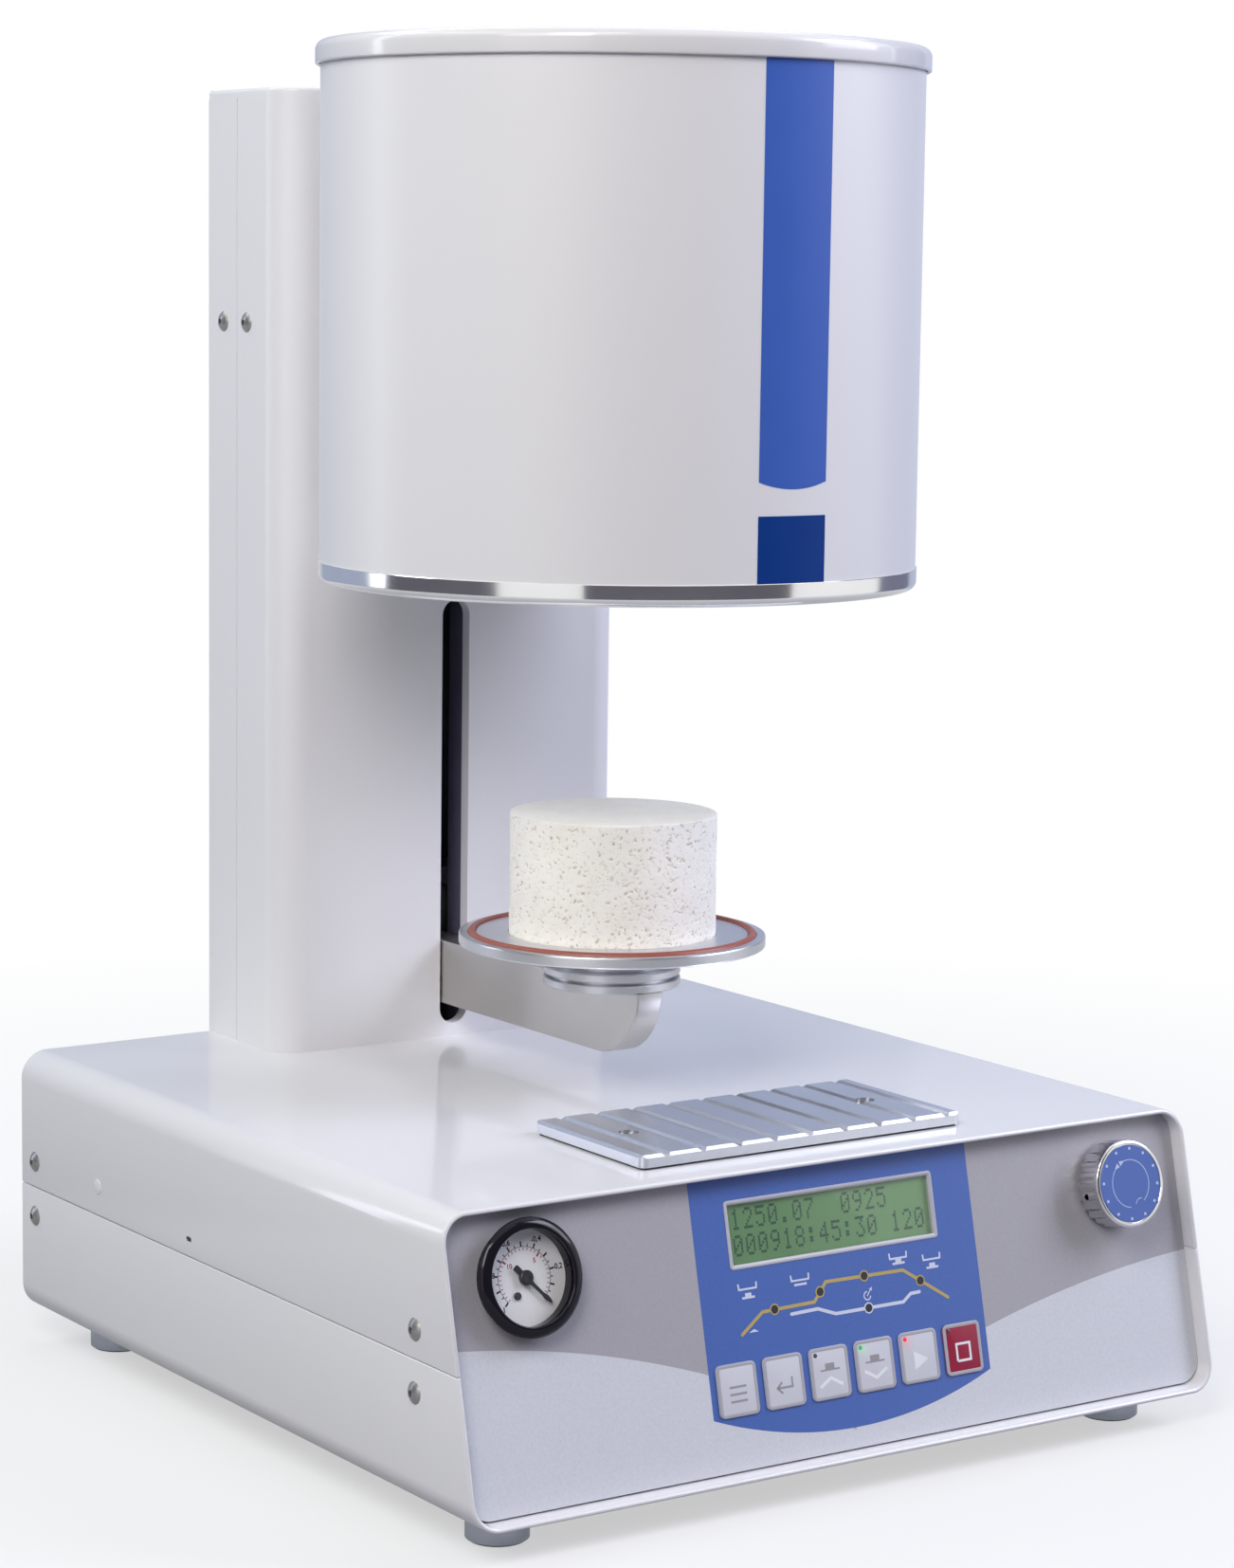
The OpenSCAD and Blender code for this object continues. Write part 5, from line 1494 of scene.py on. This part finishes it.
step_mark = [(1.6, -8.8), (2.3, -7.6), (3.2, -6.7), (5.0, -6.6)]
knob_print.append(stroke(step_mark, hair, print_low, print_high, blunt=True))
knob_ink = new_ink("ink_knob", (0.50, 0.58, 0.82))
on_inlay = at_panel(joined(knob_print), *knob_mid[:2], film_top + inlay_top)
put("knob_print", on_inlay, knob_ink, "knob")
print("knob face at", round(inlay_top, 2), "mm from the film")

# %% [markdown]
# ## The cooling plate and the feet
#
# The plate is milled from aluminium bar, with grooves from front to back for hot work to rest on.
# The CAD node has its grooves, holes and broken edges, so only the finish is new: fine lines that
# run with the grooves. The feet are turned aluminium. Each has a skirt that hides most of its
# rubber pad, so that only a thin dark line shows between the foot and the table.

# %% Finish of the plate
plate_alu = brushed_metal("plate_alu", (0.74, 0.76, 0.82), "y", 0.24, 0.27, 0.003, 2600.0, 0.05)
dress(plate_alu, "cooling_plate")
print("plate", np.round(np.subtract(*box_of("cooling_plate")[::-1]), 1))

# %% The feet: a turned foot with a skirt, and a pad inside it that keeps it off the table
foot_x, foot_y = 154.0, 157.0
foot_spots = [(sx * foot_x, sy * foot_y) for sx in (-1, 1) for sy in (-1, 1)]
foot_hi = box_of("foot_bodies")[1]
foot_r, skirt, skirt_low = foot_hi[0] - foot_x, 1.1, 0.7
pad_top = box_of("foot_pads")[1][2]
inside, pad_r = foot_r - skirt, foot_r - skirt - 0.2
foot_profile = [(0, pad_top), (inside, pad_top), (inside, skirt_low), (foot_r - 0.3, skirt_low)]
foot_profile += [(foot_r, skirt_low + 0.3), (foot_r, foot_hi[2]), (0, foot_hi[2])]
pad_profile = [(0, 0), (pad_r, 0), (pad_r, pad_top - 0.1), (0, pad_top - 0.1)]


def at_feet(profile):
    """One turned shape at each of the four feet."""
    turned = lathe(crisp(profile), 96, False)
    return joined([moved(turned, lambda p, spot=spot: p + [*spot, 0]) for spot in foot_spots])


foot_alu = blasted_metal("foot_alu", (0.50, 0.54, 0.62), 0.2, 0.27)
put("feet", at_feet(foot_profile), foot_alu, stands_for=["foot_bodies"])
put("feet_pads", at_feet(pad_profile), foot_rubber, stands_for=["foot_pads"])
print("foot", round(2 * foot_r, 1), "mm across")

# %% [markdown]
# ## The column's cap and the channel behind its slot
#
# The column is a bent shell with a cap on top. The cap is the column's own outline with a rounded
# upper edge, raised in thin steps whose inset follows a quarter circle. Behind the slot the arm
# runs between two dark walls, which hide the lift drive from the side.

# %% Cap with a rounded edge
cap_lo, cap_hi = box_of("column_cap")
column_r, cap_soft = 14.7, 1.5
column_outline = rounded_box(*cap_lo[:2], *cap_hi[:2], [column_r, column_r, 0.8, 0.8], 14)
cap = soft_slab(column_outline, cap_lo[2], cap_hi[2], cap_soft, 7)
put("column_top", cap, drum_paint, stands_for=["column_cap"])
print("cap", np.round(cap_hi - cap_lo, 1))

# %% The channel behind the slot: two walls that run back beside the arm
liner_lo, liner_hi = box_of("slot_liner")
channel_x, channel_t = 7.4, 1.2
channel_deep = box_of("lift_frame")[0][1] - liner_hi[1] - 0.5
walls = []
for x0 in (channel_x, -channel_x - channel_t):
    plan = rounded_box(x0, liner_hi[1], x0 + channel_t, liner_hi[1] + channel_deep, 0.1, 2)
    walls.append(slab(plan, [(0, liner_lo[2]), (0, liner_hi[2])]))
put("slot_channel", joined(walls), channel_dark)
print("channel", round(channel_deep, 1), "mm deep")

# %% [markdown]
# ## The furnace head
#
# The head is a drum: a rolled shell, a pressed lid whose rim laps over it, and a polished steel
# ring below. All three are lathe work, so each is a profile from the axis outwards, swept round in
# 256 steps, which keeps the long curved edges smooth. The ring's reflections depend on its even
# curve and on the dark cards of the studio.

# %% Lid, shell and ring
lid_lo, lid_hi = box_of("head_lid")
shell_lo, shell_hi = box_of("head_shell")
ring_lo, ring_hi = box_of("head_ring")
head_axis = np.array([*((lid_lo + lid_hi) / 2)[:2], 0])
lid_r, head_r = half_across(lid_lo, lid_hi), half_across(shell_lo, shell_hi)
ring_out, head_sides = half_across(ring_lo, ring_hi), 256


def round_head(profile, closed=True):
    """A turned shape about the head's own upright axis."""
    return placed(lathe(profile, head_sides, closed), lambda p: p + head_axis)


lid_soft, under = 4.0, lid_hi[2] - 2.5
edge = arc((lid_r - lid_soft, lid_hi[2] - lid_soft), lid_soft, 0, 90, 12)
lip_curl = arc((lid_r - 0.9, lid_lo[2] + 0.9), 0.9, -180, 0, 9)
lid = round_head([(0, under), (head_r + 0.3, under), *lip_curl, *edge, (0, lid_hi[2])], closed=False)
put("drum_lid", lid, lid_paint, stands_for=["head_lid"])

shell_t = 1.5
in_r = head_r - shell_t
shell = round_head([(head_r, shell_lo[2]), (head_r, shell_hi[2]), (in_r, shell_hi[2]), (in_r, shell_lo[2])])
put("drum_shell", shell, drum_paint, stands_for=["head_shell"])

roll = arc((ring_out - 3.5, ring_lo[2] + 3.5), 3.5, -90, 0, 14)
inner_r = ring_out - 8.7
band = [(inner_r, ring_lo[2]), *roll, (ring_out, ring_hi[2] - 0.25), (ring_out - 0.25, ring_hi[2])]
band += [(ring_out - 14.5, ring_hi[2]), (ring_out - 14.5, ring_lo[2] + 4.2), (inner_r, ring_lo[2] + 4.2)]
polished = turned_metal("polished_ring", (0.86, 0.86, 0.87), head_axis, (0, 0, 1), 0.10, 0.16, 0.003)
put("drum_ring", round_head(band), polished, stands_for=["head_ring"])
print("lid", round(lid_r, 1), "shell", round(head_r, 1), "ring", round(ring_out, 1))

# %% [markdown]
# ## The blue stripe
#
# A stripe of foil runs down the drum: light blue with a round lower end, a bare gap, and a dark
# block at the bottom. Foil has a thickness, so each part is a thin curved box. Its section, from
# the lower to the upper edge and back inside, is carried along the drum from one angle to another.

# %% Foil on the drum
stripe_from, stripe_to = -98.3, -83.4
foil_out, foil_in = 0.10, 0.05
stripe_top, stripe_end, stripe_sag, block_top = lid_lo[2] - 0.1, 397.4, 2.9, 384.0


def foil(low, high, sag=0.0):
    """A patch on the drum. Its lower edge hangs by sag (1 - u squared), with u from -1 to 1 across."""
    u = np.linspace(-1, 1, 33)
    t = np.radians(stripe_from + (stripe_to - stripe_from) * (u + 1) / 2)
    r = head_r + np.array([foil_out, foil_out, -foil_in, -foil_in])
    z_low = low - sag * (1 - u**2)
    z = np.stack([z_low, np.full_like(u, high), np.full_like(u, high), z_low], axis=-1)
    return tube(np.stack([r * np.cos(t)[:, None], r * np.sin(t)[:, None], z], axis=-1) + head_axis)


foil_skin = (0.4, 0.46, 700.0, 0.008)
stripe_blue = grained("foil_blue", (0.040, 0.112, 0.46), *foil_skin, 0.03, Specular_IOR_Level=0.3)
stripe_dark = grained("foil_dark", (0.003, 0.038, 0.22), *foil_skin, 0.04, Specular_IOR_Level=0.12)
put("stripe_light", foil(stripe_end, stripe_top, stripe_sag), stripe_blue)
put("stripe_block", foil(ring_hi[2] + 0.05, block_top), stripe_dark)
print("stripe", round(np.radians(stripe_to - stripe_from) * head_r, 1), "mm wide")

# %% [markdown]
# ## The lift arm
#
# The arm is a flat steel bar on edge with a quarter-round nose. The nose was dressed by hand, so
# its edges are well rounded, and the long edges are only broken. One outline with a radius of its
# own at each point gives both. The inset and the height follow a quarter circle of that radius.

# %% The arm
def rounded_bar(outline, radius, z0, z1, steps=7):
    """A solid with both rims rounded: inset r (1 - sin a), height z0 + r (1 - cos a), r by point."""
    r = np.asarray(radius, float)[:, None]
    rows = []
    for a in np.linspace(0, np.pi / 2, steps):
        flat = inset(outline, r * (1 - math.sin(a)))
        rows.append((flat, z0 + r * (1 - math.cos(a)), z1 - r * (1 - math.cos(a))))
    below = [np.concatenate([flat, low], axis=1) for flat, low, high in rows]
    above = [np.concatenate([flat, high], axis=1) for flat, low, high in rows[::-1]]
    return tube(below + above)


arm_lo, arm_hi = box_of("lift_arm")
arm_t, arm_h = 13.0, 29.0
nose_mid = (arm_lo[1] + arm_h, arm_lo[2] + arm_h)
nose = arc(nose_mid, arm_h, 180, 270, 46)
back_y = box_of("lift_carriage")[0][1] - 3.0
side_view = np.concatenate([nose, [(back_y, arm_lo[2]), (back_y, arm_lo[2] + arm_h)]])
nose_soft = np.interp(np.linspace(0, 1, len(nose)), [0, 0.12, 0.8, 1], [0.5, 1.0, 1.0, 0.4])
soft = np.concatenate([nose_soft, [0.3, 0.3]])


def on_edge(p):
    """A side view y, z with its thickness turned so that the thickness lies along x."""
    return p[:, [2, 0, 1]]


plate_t, broken = 4.0, 0.3
plate_line = rounded_box(arm_lo[0], arm_lo[2], arm_hi[0], arm_hi[2], 1.0)
end_plate = slab(plate_line, [(broken, 0), (0, broken), (0, plate_t - broken), (broken, plate_t)])
end_plate = placed(end_plate, lambda p: np.stack([p[:, 0], arm_hi[1] - plate_t + p[:, 2], p[:, 1]], axis=-1))
bar = placed(rounded_bar(side_view, soft, -arm_t / 2, arm_t / 2), on_edge)
arm = joined([bar, end_plate])
put("arm", arm, arm_metal, "lift", ["lift_arm"])
print("arm from y", round(arm_lo[1], 1), "to", round(arm_hi[1], 1))

# %% [markdown]
# ## The firing table
#
# On the arm sits a turned collar with a groove, and on it a turned disc with a red silicone seal in
# its rim groove. They are lathe profiles too, with small radii on the edges, because a turned edge
# is always broken and a bright hair line runs along it.

# %% Collar, disc and seal
disc_lo, disc_hi = box_of("table_disc")
collar_lo = box_of("table_collar")[0]
seal_lo, seal_hi = box_of("seal_ring")
disc_r, disc_h, seal_t = half_across(disc_lo, disc_hi), disc_hi[2] - disc_lo[2], seal_hi[2] - seal_lo[2]
seal_mid = half_across(seal_lo, seal_hi) - seal_t / 2
plug_r = half_across(*box_of("firing_plug"))
groove, seat = 2.2, 0.8


def at_table(profile, z, closed=False):
    """A turned shape about the table's axis, which is the head's axis too, at a height."""
    return placed(lathe(profile, fine_sides, closed), lambda p: p + head_axis + [0, 0, z])


collar = [(0, 0), (28.9, 0), (29.5, 0.5), (29.5, 3.2), (29.2, 3.6), (26.4, 3.7), (26.4, 5.1)]
collar += [(29.2, 5.2), (29.5, 5.6), (29.5, 8), (29, 8.5), (24.2, 8.5), (24, 8.7)]
collar += [(24, 14.5), (8, 14.5), (8, 18.5), (0, 18.5)]
g0, g1 = seal_mid - seal_t / 2 - 0.1, seal_mid + seal_t / 2 + 0.1
seat_r, broken_top = plug_r + 0.25, disc_h - 0.15
disc = [(0, 4.3), (8.03, 4.3), (8.03, 0), (42, 0), (disc_r - 0.9, 2.9), (disc_r - 0.3, 3.1), (disc_r, 3.6)]
disc += [(disc_r, disc_h - 0.7), (disc_r - 0.2, disc_h - 0.2), (disc_r - 0.7, disc_h)]
disc += [(g1 + 0.15, disc_h), (g1, broken_top), (g1, disc_h - groove)]
disc += [(g0, disc_h - groove), (g0, broken_top), (g0 - 0.15, disc_h)]
disc += [(plug_r + 0.4, disc_h), (seat_r, broken_top), (seat_r, disc_h - seat), (0, disc_h - seat)]
table_alu = turned_metal("table_alu", (0.68, 0.69, 0.72), head_axis, (0, 0, 1), 0.30, 0.36, 0.004, 0.06)
put("collar", at_table(crisp(collar), collar_lo[2]), table_alu, "lift", ["table_collar"])
put("disc", at_table(crisp(disc), disc_lo[2]), table_alu, "lift", ["table_disc"])
torus = arc((seal_mid, seal_t / 2), seal_t / 2, 0, 360, 29)[:-1]
put("seal", at_table(torus, seal_lo[2], True), silicone, "lift", ["seal_ring"])
print("disc", round(2 * disc_r, 1), "seal at", round(seal_mid, 2))

# %% [markdown]
# ## The firing plug
#
# The plug is a cast block of light refractory ceramic. Air bubbles leave pits all over its side,
# from pin holes to two millimetres long, and the larger ones are drawn out and brown inside.
# The larger pits are real dents here: each pit takes a stretched bell shape out of the surface, and
# the depth is kept as an attribute for the colour. Pin holes are left to the material. In pits and
# pin holes the colour turns brown and darker with depth: partly their own brown, partly painted shade.

# %% A pitted surface
plug_lo, plug_hi = box_of("firing_plug")
pit_rng = np.random.default_rng(11)
pit_count, pit_deep = 3400, 0.45
deepest = pit_deep * 1.3
plug_soft, plug_high = 0.9, plug_hi[2] - plug_lo[2]


def pit_field(u, v, span):
    """Depth of all pits at places u, v. A pit at (a, b) with half sizes p, q and a turn takes
    deep x exp(-((du/p)^2 + (dv/q)^2)^2), and u wraps round after span."""
    at = pit_rng.uniform([0, 0], [span, v.max()], (pit_count, 2))
    size = 0.22 + 0.26 * pit_rng.random(pit_count) ** 2.5
    long = size * pit_rng.uniform(1.0, 2.6, pit_count)
    spin = pit_rng.normal(0.5, 0.6, pit_count)
    deep = pit_deep * np.clip(size / 0.45, 0.5, 1.3)
    total = np.zeros(len(u))
    by_height = np.argsort(at[:, 1])
    for few in np.array_split(by_height, 52):
        near = (v > at[few, 1].min() - 3) & (v < at[few, 1].max() + 3)
        du = (u[near, None] - at[few, 0] + span / 2) % span - span / 2
        dv = v[near, None] - at[few, 1]
        c, s = np.cos(spin[few]), np.sin(spin[few])
        p, q = (du * c + dv * s) / long[few], (dv * c - du * s) / size[few]
        total[near] += (deep[few] * np.exp(-((p**2 + q**2) ** 2))).sum(1)
    return np.minimum(total, deepest)


def plug_profile_points():
    """Axis, bottom edge, side, a soft top edge and the top, with steps of about half a millimetre."""
    side = np.linspace(0.4, plug_high - plug_soft, 112)
    side = np.stack([np.full_like(side, plug_r), side], 1)
    crown = arc((plug_r - plug_soft, plug_high - plug_soft), plug_soft, 0, 90, 5)[1:]
    top = np.linspace(plug_r - plug_soft, 0, 24)[1:]
    top = np.stack([top, np.full_like(top, plug_high)], 1)
    return np.concatenate([[(0, 0), (plug_r - 0.4, 0)], side, crown, top])


points, faces = lathe(plug_profile_points(), 600, False)
away = np.hypot(points[:, 0], points[:, 1])
round_way, height = np.arctan2(points[:, 1], points[:, 0]) * plug_r, points[:, 2]
girth = 2 * np.pi * plug_r
on_side = (height < plug_high - plug_soft / 2) & (height > 0.2)
depth = np.where(on_side, pit_field(round_way % girth, height, girth), 0)
wobble = 0.10 * np.sin(round_way / 11 + height / 7) + 0.07 * np.sin(round_way / 4.3 - height / 3.1)
take = np.where(on_side, depth + 0.17 + wobble, 0)
points[:, :2] *= ((away - take) / np.maximum(away, 1e-6))[:, None]
plug_piece_shape = (points + head_axis + [0, 0, plug_lo[2]], faces)
print("plug points", len(points), "deepest pit", round(float(depth.max()), 2), "mm")

# %% Finish of the plug
plug_white, pit_brown_and_shade = (0.97, 0.945, 0.895), (0.42, 0.29, 0.17)
ceramic, tree, shader = new_finish("plug_ceramic", plug_white, 0.92, Specular_IOR_Level=0.2)
pit = add(tree, "Attribute", {"attribute_name": "pit"}).outputs["Fac"]
where = place_in(tree)
cream = mapped(tree, noise(tree, where, 55.0, 4.0, 0.6), 0.35, 0.75, 0.0, 0.35)
skin = blended(tree, cream, (*plug_white, 1), (0.86, 0.79, 0.66, 1))
warp = noise(tree, where, 420.0, 2.0)
holes = add(tree, "TexVoronoi", {"feature": "F1"}, Vector=where, Scale=900.0, Randomness=1.0)
lot = add(tree, "SeparateColor", None, Color=holes.outputs["Color"]).outputs
rough_rim = reckon(tree, "MULTIPLY_ADD", warp, 0.25, holes.outputs["Distance"])
reach = mapped(tree, lot[1], 0.0, 1.0, 0.22, 0.40)
pin = mapped(tree, reckon(tree, "SUBTRACT", rough_rim, reach), -0.03, 0.07, 1.0, 0.0)
pin = reckon(tree, "MULTIPLY", pin, reckon(tree, "GREATER_THAN", lot[0], 0.5))
pin_height = reckon(tree, "MULTIPLY", pin, -1.0)
grain = noise(tree, where, 1300.0, 3.0, 0.7)
# painted shade: pits and pin holes turn brown and darker with depth, partly their own brown
pin_shade = reckon(tree, "MULTIPLY", pin, mapped(tree, lot[2], 0.0, 1.0, 0.2, 0.75))
shade = reckon(tree, "MAXIMUM", mapped(tree, pit, 0.12, 0.7, 0.0, 0.68), pin_shade)
shade = reckon(tree, "MULTIPLY", shade, mapped(tree, warp, 0.3, 0.7, 0.5, 1.0))
fill(tree, shader.inputs["Base Color"], blended(tree, shade, skin, (*pit_brown_and_shade, 1)))
raise_by(tree, shader, reckon(tree, "MULTIPLY_ADD", grain, 0.35, pin_height), 0.22, 0.8)

plug_piece = put("plug", plug_piece_shape, ceramic, "lift", ["firing_plug"], crease=60)
layer = plug_piece.data.attributes.new("pit", "FLOAT", "POINT")
layer.data.foreach_set("value", (depth / deepest).astype(np.float32))
print("plug triangles", sum(len(p.vertices) - 2 for p in plug_piece.data.polygons))

# %% [markdown]
# ## Marks on the mains switch
#
# The rocker carries a bar for on and a ring for off, as mains switches do. They are thin prisms on
# the rocker's two sloping faces, and they tip with it because they ride its body.

# %% Bar and ring
rocker_lo, rocker_hi = box_of("switch_rocker")
switch_x, pivot_y, pivot_z = (rocker_lo + rocker_hi)[0] / 2, 167.5, 48.0
rocker_tip, crest, fall = 10.0, 4.6, 1.4 / 9.4


def on_rocker(shape, middle):
    """Lays a flat drawing on the rocker: out from its face, which falls away from the pivot line."""
    def lay(p):
        z = p[:, 1] + middle
        y = crest - fall * abs(middle) - fall * np.sign(middle) * p[:, 1] + p[:, 2]
        c, s = math.cos(math.radians(rocker_tip)), math.sin(math.radians(rocker_tip))
        return np.stack([switch_x + p[:, 0], pivot_y + c * y - s * z, pivot_z + s * y + c * z], axis=-1)
    return placed(shape, lay)


sunk, proud = -0.05, 0.08
bar = slab(rounded_box(-0.45, -2.2, 0.45, 2.2, 0.2, 3), [(0, sunk), (0, proud)])
ring_mark = stroke(circle_outline(1.9, 40), 0.75, sunk, proud, closed=True)
rocker_marks = joined([on_rocker(bar, 5.0), on_rocker(ring_mark, -5.0)])
put("rocker_marks", rocker_marks, white_ink, "rocker")
print("rocker pivot at", pivot_y, pivot_z)

# %% [markdown]
# ## Finish
#
# The script ends by printing how many pieces it made.

# %% The count of pieces, and the end
print("pieces made:", piece_count)
